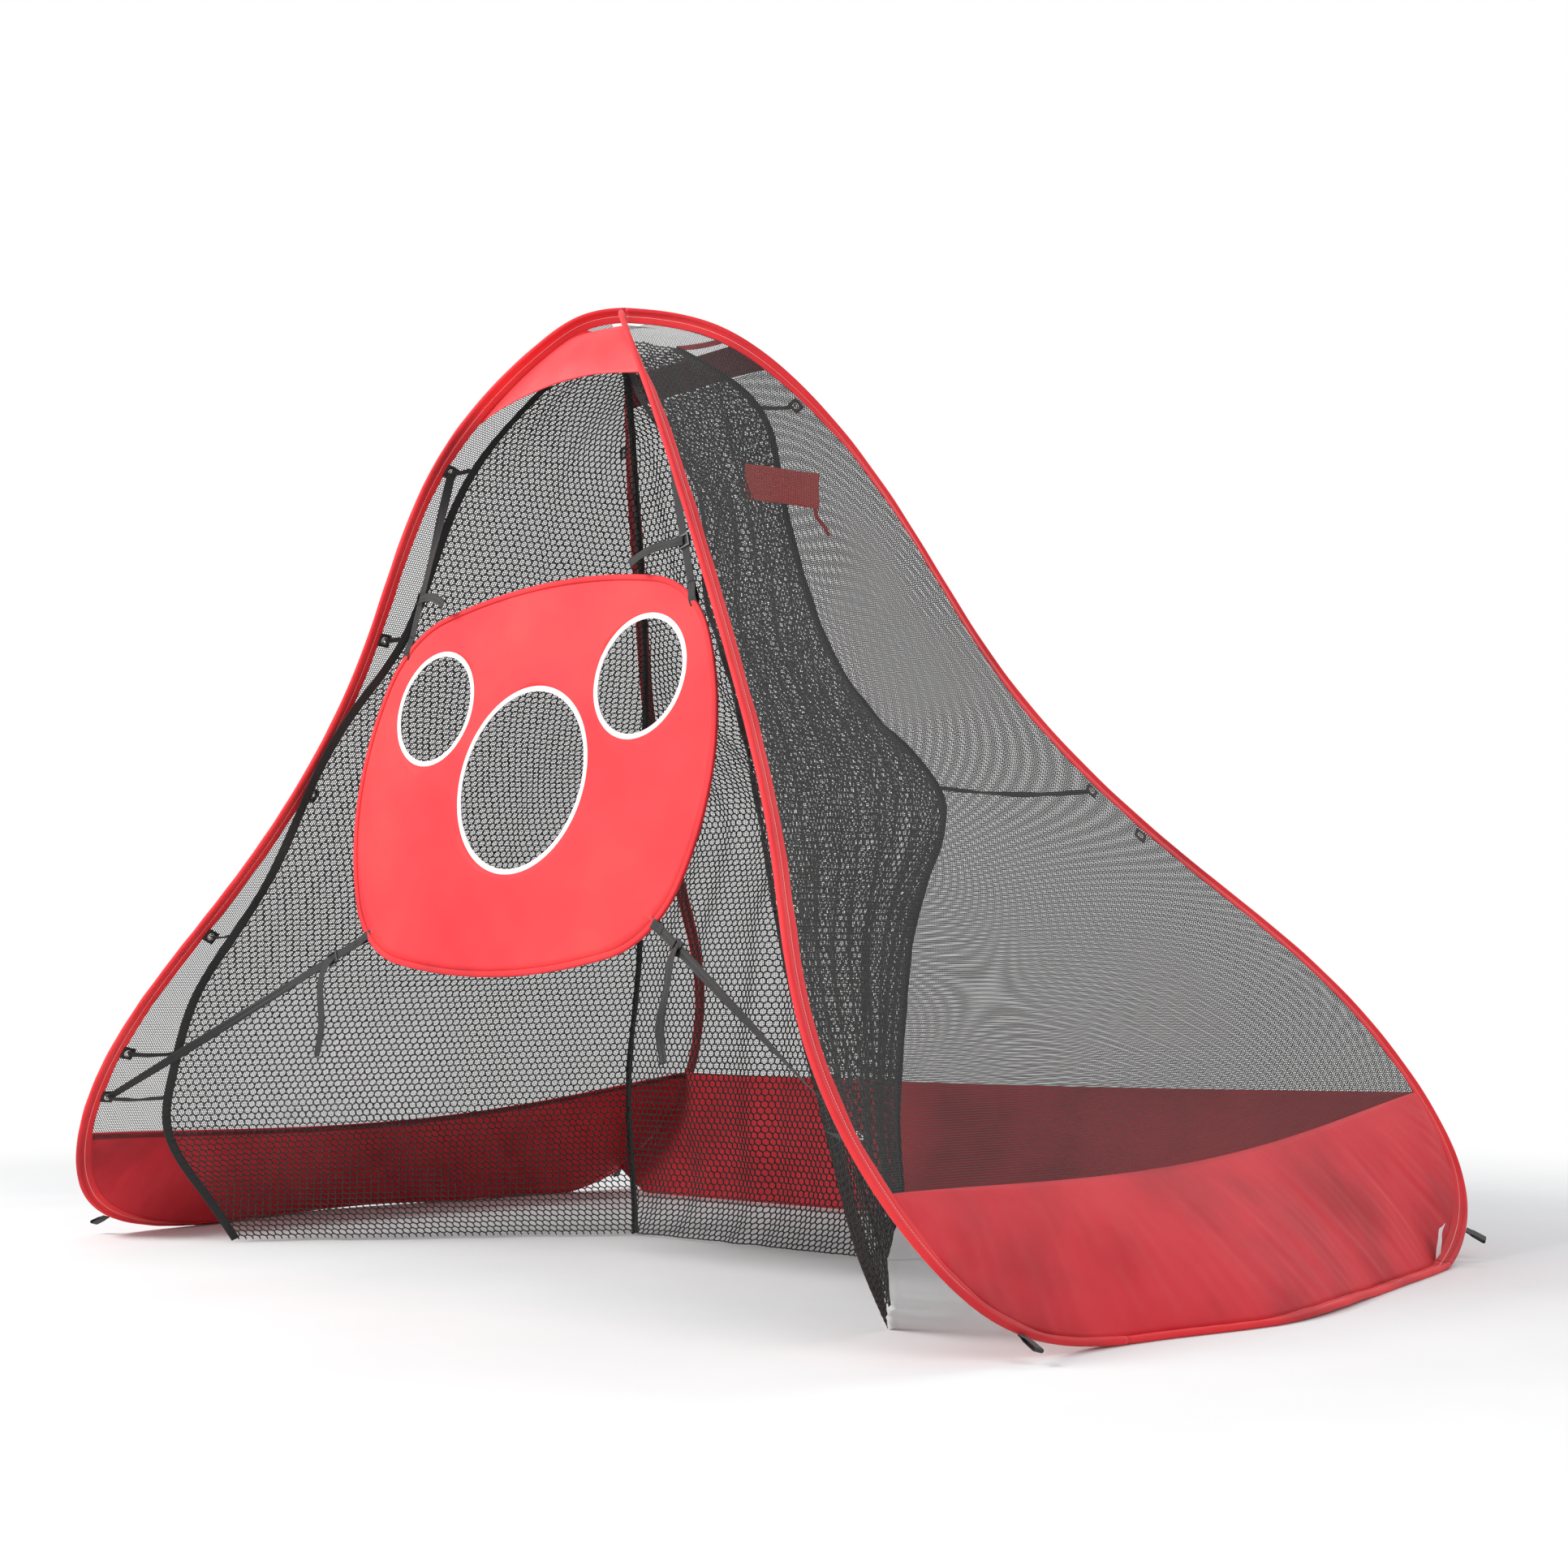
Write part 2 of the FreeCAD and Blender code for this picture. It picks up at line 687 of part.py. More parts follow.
def target_outline(inset, out):
    """Rounded rectangle with bowed sides, parallel to the full outline."""
    radius = target_corner_radius - inset
    half_width = target_width / 2 - inset
    half_height = target_height / 2 - inset
    cx = half_width - target_side_bow - radius
    cz = half_height - target_top_bow - radius
    side = bowed_radius(cz, half_width - cx, radius)
    top = bowed_radius(cx, half_height - cz, radius)
    side_turn = math.asin(cz / (side - radius))
    top_turn = math.pi / 2 - math.asin(cx / (top - radius))
    quarter = arc_points((half_width - side, 0), side, 0, side_turn, side_steps)
    quarter += arc_points((cx, cz), radius, side_turn, top_turn, corner_steps)
    quarter += arc_points((0, half_height - top), top, top_turn, math.pi / 2, side_steps)
    half = quarter + [(0, half_height)] + [(-x, z) for x, z in quarter[::-1]]
    whole = half + [(x, -z) for x, z in half[-2:0:-1]]
    return polygon([on_target(x, z, out) for x, z in whole])


def target_plate(inset, low, high):
    return Part.Face(target_outline(inset, low)).extrude(target_out * (high - low))


def target_ring(outer, inner, low, high):
    return target_plate(outer, low, high).cut(target_plate(inner, low - 1, high + 1))


hole_places = [(0.0, -middle_hole_drop, middle_hole_radius),
               (side_hole_offset, side_hole_rise, side_hole_radius),
               (-side_hole_offset, side_hole_rise, side_hole_radius)]


def disc(x, up, radius, low, high):
    rim = arc_points((x, up), radius, 0, 2 * math.pi, hole_steps)
    return Part.Face(polygon([on_target(a, b, low) for a, b in rim])).extrude(target_out * (high - low))


def build_target():
    half = target_cloth / 2
    panel = target_plate(rim_width + seam_gap, -half, half)
    bindings = []
    for x, up, radius in hole_places:
        panel = panel.cut(disc(x, up, radius + binding_width + seam_gap, -5, 5))
        thick = binding_thickness / 2
        outer = disc(x, up, radius + binding_width, -thick, thick)
        bindings.append(outer.cut(disc(x, up, radius, -thick, thick)))
    save("target_panel", panel)
    save("target_hole_bindings", bindings)
    half_rim = rim_thickness / 2
    rim = target_ring(0, rim_width, -half_rim, half_rim)
    cavity = wire_side / 2 + seam_gap
    middle = rim_width / 2
    rim = rim.cut(target_ring(middle - cavity, middle + cavity, -cavity, cavity))
    save("target_rim_sleeve", rim)
    save("target_rim_wire", target_ring(middle - wire_side / 2, middle + wire_side / 2,
                                        -wire_side / 2, wire_side / 2))


# ================================================================ straps
def strap_ends(side, top):
    """Start at the leg's grommet, the way the strap looks there, and end at the target."""
    leg = (front_right if side > 0 else front_left)
    place = tab_place(at_height(leg, front_grommets[0 if top else -1]), False)
    lift = grommet_height / 2 + strap_lift + strap_thickness / 2
    corner = on_target(side * target_corner.x, (1 if top else -1) * target_corner.z)
    face = place.side if place.side.dot(target_out) > 0 else -place.side
    return place.at(0, -lift), face, corner


def build_straps():
    tabs = []
    around_rim = target_plate(-seam_gap, -rim_thickness, rim_thickness)
    for side, side_name in ((1, "right"), (-1, "left")):
        for top, top_name in ((True, "upper"), (False, "lower")):
            name = f"{top_name}_{side_name}"
            start, start_face, corner = strap_ends(side, top)
            along = unit(start - corner)
            tab_end = corner + along * target_tab_length
            tab = band([corner - along * rim_width, tab_end], target_out, strap_width,
                       strap_thickness)
            tabs.append(tab.cut(around_rim))
            foot = tab_end + along * seam_gap
            place = upper_slider_place if top else lower_slider_place
            level = foot + along * 2 * place
            shares = [i / strap_twists for i in range(strap_twists + 1)]
            points = [foot] + [mix(level, start, share) for share in shares]
            faces = [target_out] + [mix(target_out, start_face, share) for share in shares]
            save(f"target_strap_{name}", band(points, faces, strap_width, strap_thickness))
            build_slider(name, foot + along * place, along, top, side)
    save("target_tabs", tabs)


def build_slider(name, centre, along, top, side):
    """Ladder-lock slider: two rails, two front bars and one back bar, with its strap's tail."""
    out = unit(target_out - along * target_out.dot(along))
    across = along.cross(out)
    axes = (along, across, out)
    half_length = slider_length / 2
    half_width = strap_width / 2 + slider_clearance
    half_thick = slider_thickness / 2
    near = strap_thickness / 2 + slider_clearance
    outer = half_width + slider_rail
    rails = [local_box(centre, axes, (-half_length, s * half_width if s > 0 else -outer, -half_thick),
                       (half_length, outer if s > 0 else -half_width, half_thick)) for s in (1, -1)]
    bars = [local_box(centre, axes, (half_length - slider_bar, -outer, near),
                      (half_length, outer, half_thick)),
            local_box(centre, axes, (-half_length, -outer, near),
                      (-half_length + slider_bar, outer, half_thick)),
            local_box(centre, axes, (-slider_bar / 2, -outer, -half_thick),
                      (slider_bar / 2, outer, -near))]
    body = rails[0].multiFuse(rails[1:] + bars).removeSplitter()
    save(f"strap_slider_{name}", body)
    lift = upper_tail_lift if top else lower_tail_lift
    start = centre + out * (half_thick + lift + strap_thickness / 2)
    route = upper_tail if top else tail_drop
    points = [start + V(p.x * side, p.y, p.z) for p in route]
    front = V(0, -1, 0)
    facing = [out] * 4 if top else [out, out, mix(out, front, 0.5), front, front]
    save(f"strap_tail_{name}", band(points, facing, strap_width, strap_thickness))


# ================================================================ loops and labels
def stake_loop(station):
    """Folded webbing with an eye for a peg, outside the sleeve; its root is stitched flat."""
    out, up = -station.hem, station.side
    across = unit(up.cross(out))
    start = station.point + out * (bulb_radius + loop_gap)
    bend = loop_height / 2
    bends = [math.pi / 2 - math.pi * i / 6 for i in range(7)]

    def outline(root, root_half, radius):
        """Side view of the folded webbing, from its root round the bend and back."""
        end = loop_length - bend
        shape = [(root, root_half), (loop_root + root, radius)]
        shape += [(end + radius * math.cos(t), radius * math.sin(t)) for t in bends]
        shape += [(loop_root + root, -radius), (root, -root_half)]
        return Part.Face(polygon([start + out * a + up * b - across * loop_width / 2
                                  for a, b in shape]))

    outer = outline(0.0, loop_webbing, bend)
    eye = outline(loop_root, loop_webbing / 4, bend - loop_webbing)
    return outer.cut(eye).extrude(across * loop_width)


def nearest_low(hoop, y):
    """The place low on a hoop that is nearest to a distance from the middle."""
    low = [s for s in hoop if s.point.z < strip_front_height]
    return min(low, key=lambda s: abs(s.point.y - y))


def care_label_place(hoop):
    """Middle of the label's stitched edge, and its directions along, across and up."""
    low = [s for s in hoop if s.point.z < strip_front_height]
    runs = list(zip(low, low[1:]))
    a, b = min(runs, key=lambda r: abs(mix(r[0].point.y, r[1].point.y, 0.5) - care_label_y))
    reach = care_label_size[0] / 2 / a.point.distanceToPoint(b.point)
    ends = [blend(a, b, 0.5 + share) for share in (-reach, reach)]
    place = hem_reach - care_label_inset, hem_thickness / 2 + care_label_lift
    first, last = [s.at(*place) for s in ends]
    along = unit(last - first)
    hem = ends[0].hem + ends[1].hem
    hem = unit(hem - along * hem.dot(along))
    return mix(first, last, 0.5), (-along, hem, along.cross(hem))


def care_label(hoop):
    """White label stitched on the hem, standing up against the strip."""
    width, thick, height = care_label_size
    root, axes = care_label_place(hoop)
    return local_box(root, axes, (-width / 2, -thick / 2, 0), (width / 2, thick / 2, height))


def fold_label():
    """Red flag on the outside of the netting, with a loose end of ribbon."""
    width, thick, height = flag_size
    along = unit(flag_way)
    axes = (along, V(0, 0, 1), along.cross(V(0, 0, 1)))
    save("fold_label", local_box(flag_place, axes, (0, -height / 2, -thick / 2),
                                 (width, height / 2, thick / 2)))
    start = flag_place + along * (width - ribbon_width) - V(0, 0, height / 2 + seam_gap)
    points = [start + V(p.x, p.y, p.z) for p in ribbon_drop]
    save("fold_label_ribbon", band(points, axes[2], ribbon_width, ribbon_thickness))


def top_ties():
    """Short webbing from the back legs' hems to the top corners of the net."""
    ties = []
    for leg, line in ((back_right_down, seam), (back_left_down, [mirrored(p) for p in seam])):
        station = at_height(leg, top_tie_height)
        start = station.at(hem_reach / 2, -(hem_thickness / 2 + seam_gap + tie_thickness / 2))
        end = line[0] + unit(start - line[0]) * top_tie_gap
        ties.append(band([start, end], -station.side, tie_width, tie_thickness))
    save("net_top_ties", ties)


def build_small_parts():
    ends = (("front", loop_front_y), ("back", loop_back_y))
    for hoop, side in ((right_hoop, "right"), (left_hoop, "left")):
        for end, y in ends:
            save(f"stake_loop_{end}_{side}", stake_loop(nearest_low(hoop, y)))
    save("care_label", care_label(right_hoop))
    fold_label()
    top_ties()


build_frame()
build_cloth()
build_net()
build_ties()
build_target()
build_straps()
build_small_parts()
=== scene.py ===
import math

import bpy
import numpy as np
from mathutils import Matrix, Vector


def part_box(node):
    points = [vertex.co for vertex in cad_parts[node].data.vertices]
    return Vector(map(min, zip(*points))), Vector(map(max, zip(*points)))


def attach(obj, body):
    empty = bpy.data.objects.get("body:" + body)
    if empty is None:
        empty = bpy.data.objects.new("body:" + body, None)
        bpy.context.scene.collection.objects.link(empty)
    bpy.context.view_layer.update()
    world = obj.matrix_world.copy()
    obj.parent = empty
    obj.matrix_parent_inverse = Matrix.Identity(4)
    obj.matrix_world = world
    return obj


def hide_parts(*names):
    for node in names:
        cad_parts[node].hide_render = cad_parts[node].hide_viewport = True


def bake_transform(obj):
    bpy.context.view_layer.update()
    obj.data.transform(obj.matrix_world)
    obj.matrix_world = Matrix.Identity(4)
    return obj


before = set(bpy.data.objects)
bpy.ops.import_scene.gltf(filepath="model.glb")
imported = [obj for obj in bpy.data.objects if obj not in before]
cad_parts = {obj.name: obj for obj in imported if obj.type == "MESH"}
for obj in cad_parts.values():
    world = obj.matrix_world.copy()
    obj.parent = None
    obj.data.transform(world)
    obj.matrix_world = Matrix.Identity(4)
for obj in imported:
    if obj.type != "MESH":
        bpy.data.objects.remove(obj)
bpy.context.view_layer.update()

# A pop-up chipping net, in metres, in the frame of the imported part: +Z is up and the open
# front faces -Y.  Pieces are given for the right side and mirrored where they have a twin.

# ------------------------------------------------------------------ the sprung frame
ROD_RADIUS = 0.004
BULB_RADIUS = 0.0064            # outside of the sleeve's channel round the rod
HEM_HALF = 0.0012               # half the thickness of the flat hem
HEM_REACH = 0.0294              # from the rod's middle to the hem's edge
GROUND = 0.00574                # height of the rod's middle where the sleeve lies down
APEX = (0, -0.421, 2.112)
LOWER_APEX = (0, -0.421, 2.074)
FRONT_LEG = [(0.115, -0.542, 2.045), (0.326, -0.664, 1.798), (0.550, -0.713, 1.344),
             (0.843, -0.856, 0.816), (1.120, -1.015, 0.366), (1.318, -0.890, 0.075)]
FLOOR_RUN = [(1.376, -0.555, GROUND), (1.458, -0.225, GROUND), (1.424, 0.216, GROUND),
             (1.362, 0.680, GROUND)]
BACK_LEG = [(1.262, 0.990, 0.187), (1.086, 0.961, 0.498), (0.818, 0.618, 0.873),
            (0.558, 0.226, 1.310), (0.388, 0.009, 1.730), (0.194, -0.227, 2.041)]
HOOP_CENTRE = np.array([0.850, 0, 0.800])    # the flat hems point towards here
HEM_SETTLES = 0.350
HEM_LIES_DOWN = 0.250

# ------------------------------------------------------------------ cloth on the frame
STRIP_FRONT = 0.250             # top hem of the floor strips at the front legs
STRIP_BACK = 0.360              # and at the back legs
STRIP_SAG = 0.050               # the top hem hangs this much lower halfway
STRIP_CLOTH = 0.0011
BACK_STRIP_SAG = 0.120          # the back strip's foot bows in behind the net by this
FLAP_TOP, FLAP_BOTTOM = 2.090, 1.868
FLAP_BELLY = 0.034
CAP_TOP, CAP_BOTTOM = 2.056, 2.000

# ------------------------------------------------------------------ the netting bag
NET_BORDER = [(0.080, -0.490, 2.005), (0.170, -0.559, 1.893), (0.296, -0.612, 1.746),
              (0.427, -0.613, 1.557), (0.485, -0.660, 1.364), (0.573, -0.709, 1.230),
              (0.650, -0.744, 1.105), (0.765, -0.797, 0.846), (0.842, -0.848, 0.700),
              (0.915, -0.890, 0.567), (0.979, -0.900, 0.400), (1.012, -0.890, 0.270),
              (0.990, -0.800, 0.116), (0.980, -0.720, 0.006)]
NET_SEAM = [(0.082, -0.340, 2.025), (0.215, -0.182, 1.863), (0.230, -0.155, 1.735),
            (0.250, -0.115, 1.550), (0.285, -0.070, 1.380), (0.365, 0.010, 1.200),
            (0.480, 0.115, 0.991), (0.455, 0.085, 0.830), (0.430, 0.060, 0.700),
            (0.424, 0.040, 0.550), (0.423, 0.020, 0.389), (0.420, 0.022, 0.230),
            (0.414, 0.030, 0.109), (0.370, -0.005, 0.006)]
CELL = 0.0165                   # netting cell, flat to flat
CORD_RADIUS = 0.0019
TAPE = (0.020, 0.0015)          # width and thickness

# ------------------------------------------------------------------ grommets and ties
TAB_SIDE = 0.030
TAB_THICK = 0.0016
TAB_RISE = 0.0034               # stitched edge of a tab from the hem's middle
TAB_EDGE = {"front": (-0.005, 0), "back": (0.0027, 0.0008)}    # from the hem's edge, and off it
TAB_TURN = math.radians(8.0)    # a tab stands off from its stitched edge
GROMMET = (0.0090, 0.0050, 0.0032)
FRONT_GROMMETS = [1.765, 1.389, 1.047, 0.725, 0.449, 0.342]
BACK_GROMMETS = [1.925, 1.062, 0.965]
TIE = (0.012, 0.0012)

# ------------------------------------------------------------------ the target
TARGET_CENTRE = np.array([0, -0.707, 1.026])
LEAN = math.radians(8.5)
TARGET_UP = np.array([0, math.sin(LEAN), math.cos(LEAN)])
TARGET_OUT = np.array([0, -math.cos(LEAN), math.sin(LEAN)])
TARGET_SIZE = (1.120, 0.850)
TARGET_CORNER = 0.245
SIDE_BOW = 0.032
TOP_BOW = 0.028
RIM_WIDTH = 0.013
HOLES = [(0.0, -0.008, 0.191), (0.324, 0.180, 0.120), (-0.324, 0.180, 0.120)]
BINDING_WIDTH = 0.012
STRAP_CORNER = (0.452, 0.330)

# ------------------------------------------------------------------ straps and small parts
STRAP = (0.020, 0.0014)
TAB_LENGTH = 0.030
UPPER_SLIDER, LOWER_SLIDER = 0.092, 0.070
SLIDER_HALF = 0.0033            # half a slider's thickness
TAIL_LIFT = {"upper": 0.0003, "lower": -0.0009}         # a tail's root off the slider's face
STRAP_RISE = 0.0031             # from a tab's middle to the middle of the strap on it
TIE_RISE = 0.0022
SHARED_TIE_RISE = 0.0062        # where the tie shares its grommet with a strap
UPPER_TAIL = [(0, 0, 0), (-0.038, -0.010, -0.004), (-0.082, -0.022, -0.014),
              (-0.122, -0.030, -0.034)]
LOWER_TAIL = [(0, 0, 0), (0.003, -0.016, -0.022), (0.004, -0.026, -0.070),
              (-0.010, -0.030, -0.140), (0.002, -0.032, -0.215)]
LOOP_Y = {"front": -0.800, "back": 0.840}
LOOP_HALF, LOOP_ROUND = 0.0223, 0.0033      # half its length, and the bend at its open end
CARE_LABEL = (0.042, 0.068)
FLAG = (0.185, 0.080)
FLAG_PLACE = np.array([0.2676, -0.310, 1.690])
FLAG_WAY = (0.35, 0.93, 0)
RIBBON_DROP = [(0, 0, 0), (0, 0, -0.010), (0.010, 0.014, -0.036), (0.020, 0.022, -0.060)]
RIBBON = (0.009, 0.0008)
TOP_TIE_HEIGHT = 2.062


# ================================================================== lines and frames
def unit(vectors):
    vectors = np.asarray(vectors, float)
    return vectors / np.maximum(np.linalg.norm(vectors, axis=-1, keepdims=True), 1e-12)


def mix(a, b, share):
    return a * (1 - share) + b * share


def dot(a, b):
    return (np.asarray(a) * b).sum(-1, keepdims=True)


def mirrored(points):
    return np.asarray(points, float) * (-1, 1, 1)


def steps(count):
    return np.linspace(0.0, 1.0, count)


def full_turn(corners):
    """Equal steps round a circle, from 0."""
    return np.arange(corners) / corners * 2 * math.pi


def on_circle(turn):
    return np.stack([np.cos(turn), np.sin(turn)], -1)


def turn_of(flat):
    """Angle of flat points round their middle."""
    return np.arctan2(flat[..., 1], flat[..., 0])


def between(keys, known, values):
    """Rows of values at the keys, on straight lines between the known places."""
    return np.stack([np.interp(keys, known, column) for column in values.T], -1)


def spanned(one, other, share):
    """A grid of points from one line straight across to another."""
    return mix(one[:, None], other[:, None], share[None, :, None])


def smooth_line(points, count, ends=None):
    """A cubic spline through points on their summed chord, with free ends or with the two end
    slopes given, sampled again at equal steps along its length."""
    p = np.array(points, float)
    t = reach_along(p)
    h = np.diff(t)[:, None]
    slope = np.diff(p, axis=0) / h
    n = len(p)
    a, b = np.zeros((n, n)), np.zeros((n, 3))
    i = np.arange(1, n - 1)
    a[i, i - 1], a[i, i + 1] = 1 / h[:-1, 0], 1 / h[1:, 0]
    a[i, i] = 2 * (a[i, i - 1] + a[i, i + 1])
    b[1:-1] = 3 * (slope[:-1] / h[:-1] + slope[1:] / h[1:])
    if ends is None:
        a[0, :2], a[-1, -2:] = (2, 1), (1, 2)
        b[0], b[-1] = 3 * slope[0], 3 * slope[-1]
    else:
        a[0, 0] = a[-1, -1] = 1
        b[0], b[-1] = ends
    m = np.linalg.solve(a, b)
    fine = np.linspace(0, t[-1], 60 * n)
    k = np.clip(np.searchsorted(t, fine, side="right") - 1, 0, n - 2)
    s = ((fine - t[k]) / h[k, 0])[:, None]
    dense = ((2 * s**3 - 3 * s**2 + 1) * p[k] + (s**3 - 2 * s**2 + s) * h[k] * m[k]
             + (3 * s**2 - 2 * s**3) * p[k + 1] + (s**3 - s**2) * h[k] * m[k + 1])
    return evenly(dense, count)


def reach_along(line):
    """Distance along a line of points, from its start to each of them."""
    return np.concatenate([[0], np.cumsum(np.linalg.norm(np.diff(line, axis=0), axis=1))])


def evenly(line, count):
    """The same line on points at equal steps."""
    reach = reach_along(line)
    return between(np.linspace(0, reach[-1], count), reach, line)


def ripple(a, b, seed, waves=6):
    """Soft unevenness over two parameters: a sum of sines with seeded directions, lengths and
    phases, scaled to run from about -1 to 1."""
    draw = np.random.default_rng(seed)
    total = 0
    for _ in range(waves):
        turn, stretch = draw.uniform(0, math.pi), draw.uniform(0.6, 1.7)
        phase = draw.uniform(0, 6.3)
        total = total + np.sin(stretch * (a * math.cos(turn) + b * math.sin(turn)) + phase)
    return total / math.sqrt(waves) / 1.4


class Leg:
    """Part of a hoop: its line, the way it runs, the way its hem points and its side."""

    def __init__(self, *parts):
        self.parts = parts
        self.point, self.along, self.hem, self.side = parts

    def each(self, change):
        """The leg with all its parts changed in one way."""
        return Leg(*map(change, self.parts))

    def at(self, hem, side=0.0):
        return self.point + self.hem * hem + self.side * side

    def pick(self, keys, of):
        """The leg at places where a rising quantity has the wanted values."""
        order = np.argsort(of)
        point, *ways = [between(keys, of[order], a[order]) for a in self.parts]
        return Leg(point, *map(unit, ways))

    def at_height(self, z):
        return self.pick(np.atleast_1d(z), self.point[:, 2])


def hoop(first, last, count=741):
    """Right-hand hoop: down the front leg, along the ground and up the back leg.  The hems point
    at the hoop's middle, but straight down at the apex and flat on the ground."""
    ends = np.array([(1, -1, -0.05), (-1, -1, 0.05)])
    p = smooth_line([first] + FRONT_LEG + FLOOR_RUN + BACK_LEG + [last], count, ends)
    p[:, 2] = np.maximum(p[:, 2], GROUND)
    along = np.gradient(p, axis=0)
    along[[0, -1], 2] = 0
    along = unit(along)
    towards = HOOP_CENTRE - p
    towards[:, :2] *= np.minimum(1, p[:, :1] / HEM_SETTLES)
    towards[:, 2] *= np.clip((p[:, 2] - GROUND) / HEM_LIES_DOWN, 0, 1)
    hem = unit(towards - along * dot(towards, along))
    return Leg(p, along, hem, np.cross(along, hem))


def split(whole):
    """Front leg and back leg, both from the apex down, and the ground run between them."""
    low = np.flatnonzero(whole.point[:, 2] < GROUND + 0.001)
    first, last = low[0] - 1, low[-1] + 1
    return (whole.each(lambda a: a[:first + 1]), whole.each(lambda a: a[first:last + 1]),
            whole.each(lambda a: a[last:][::-1]))


right_hoop = hoop(LOWER_APEX, APEX)
left_hoop = hoop(APEX, LOWER_APEX).each(mirrored)
front_right, floor_right, back_right = split(right_hoop)
front_left, floor_left, back_left = split(left_hoop)


# ================================================================== mesh makers
# A block is its points and a list of (faces, flat coordinates of their corners).
def grid_faces(n, m, uv, wrap=(False, False)):
    """Quads on a grid of points; a direction that wraps joins its last line to its first."""
    i, j = np.meshgrid(np.arange(n - 1 + wrap[0]), np.arange(m - 1 + wrap[1]), indexing="ij")
    rows = np.stack([i, i, i + 1, i + 1], -1).reshape(-1, 4)
    columns = np.stack([j, j + 1, j + 1, j], -1).reshape(-1, 4)
    return (rows % n) * m + columns % m, uv[rows, columns]


def faced_outwards(points, parts):
    """Turns a closed block's faces round if the volume they hold comes out negative."""
    quads = parts[0][0]
    a, b, c = (points[quads[:, k]] - points.mean(0) for k in range(3))
    if (a * np.cross(b, c)).sum() < 0:
        parts = [(faces[:, ::-1], uv[:, ::-1]) for faces, uv in parts]
    return points, parts


def sweep_block(rings, u, v, closed=False):
    """Closed skin over rings of points (places, corners, 3).  u is the distance along, v the
    distance round with one value more than there are corners.  Open ends get a flat cap."""
    n, m = rings.shape[:2]
    uv = np.stack(np.meshgrid(u, v, indexing="ij"), -1)
    parts = [grid_faces(n, m, uv, (closed, True))]
    if not closed:
        parts.append((np.arange(m)[None, ::-1], uv[:1, :m][:, ::-1]))
        parts.append(((n - 1) * m + np.arange(m)[None], uv[-1:, :m]))
    return faced_outwards(rings.reshape(-1, 3), parts)


def carried(centre, across, out, profile):
    """A profile's two numbers laid along two directions at each place of a line."""
    return (centre[:, None] + across[:, None] * profile[..., :1]
            + out[:, None] * profile[..., 1:])


def grid_normal(grid):
    return unit(np.cross(np.gradient(grid, axis=1), np.gradient(grid, axis=0)))


def sheet_block(grid, thickness, uv):
    """A sheet with two faces and a rim: each row runs out over the front and home over the
    back, which are half the thickness off the grid along its normal."""
    off = grid_normal(grid) * thickness / 2
    rings = np.concatenate([grid + off, (grid - off)[:, ::-1]], 1)
    n, m = rings.shape[:2]
    around = np.concatenate([uv, uv[:, ::-1], uv[:, :1]], 1)
    j = np.arange(m // 2 - 1)
    first = np.stack([j, m - 1 - j, m - 2 - j, j + 1], -1)[:, ::-1]
    last = (first + (n - 1) * m)[:, ::-1]
    flat = around[:, :m].reshape(-1, 2)
    parts = [grid_faces(n, m, around, (False, True)), (first[:, ::-1], flat[first[:, ::-1]]),
             (last[:, ::-1], flat[last[:, ::-1]])]
    return faced_outwards(rings.reshape(-1, 3), parts)


def open_block(grid, uv):
    return grid.reshape(-1, 3), [grid_faces(*grid.shape[:2], uv)]


def surface_uv(grid):
    """Distances over a sheet as it lies flat: along each row from its middle, and down."""
    across = np.linalg.norm(np.diff(grid, axis=1), axis=2)
    u = np.concatenate([np.zeros((len(grid), 1)), np.cumsum(across, 1)], 1)
    u = u - u[:, -1:] / 2
    down = np.linalg.norm(np.diff(grid, axis=0), axis=2).mean(1)
    v = np.concatenate([[0], -np.cumsum(down)])
    return np.stack([u, np.broadcast_to(v[:, None], u.shape)], -1)


def build(name, blocks, material, body, nodes=()):
    """One object from blocks, riding on a body in place of its CAD nodes."""
    points, faces, coords, start = [], [], [], 0
    for block_points, parts in blocks:
        points.append(block_points)
        for part_faces, uv in parts:
            faces += (part_faces + start).tolist()
            coords.append(uv.reshape(-1, 2))
        start += len(block_points)
    mesh = bpy.data.meshes.new(name)
    mesh.from_pydata(np.concatenate(points).tolist(), [], faces)
    layer = mesh.uv_layers.new(name="flat")
    layer.data.foreach_set("uv", np.concatenate(coords).astype(np.float32).ravel())
    mesh.polygons.foreach_set("use_smooth", np.full(len(faces), True))
    mesh.materials.append(material)
    mesh.update()
    made = bpy.data.objects.new(name, mesh)
    bpy.context.scene.collection.objects.link(made)
    if isinstance(body, str):
        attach(made, body)
    if nodes:
        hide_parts(*nodes)
    return made


def band_profile(width, thickness, edge=0.35, corners=16):
    """Flat oval: a circle's cosine and sine, each raised to a small power to square it."""
    turn = full_turn(corners)
    c, s = np.cos(turn), np.sin(turn)
    return np.stack([np.sign(c) * np.abs(c) ** edge * width / 2,
                     np.sign(s) * np.abs(s) ** 0.6 * thickness / 2], -1)


def ring_lengths(profile):
    return reach_along(np.concatenate([profile, profile[:1]]))


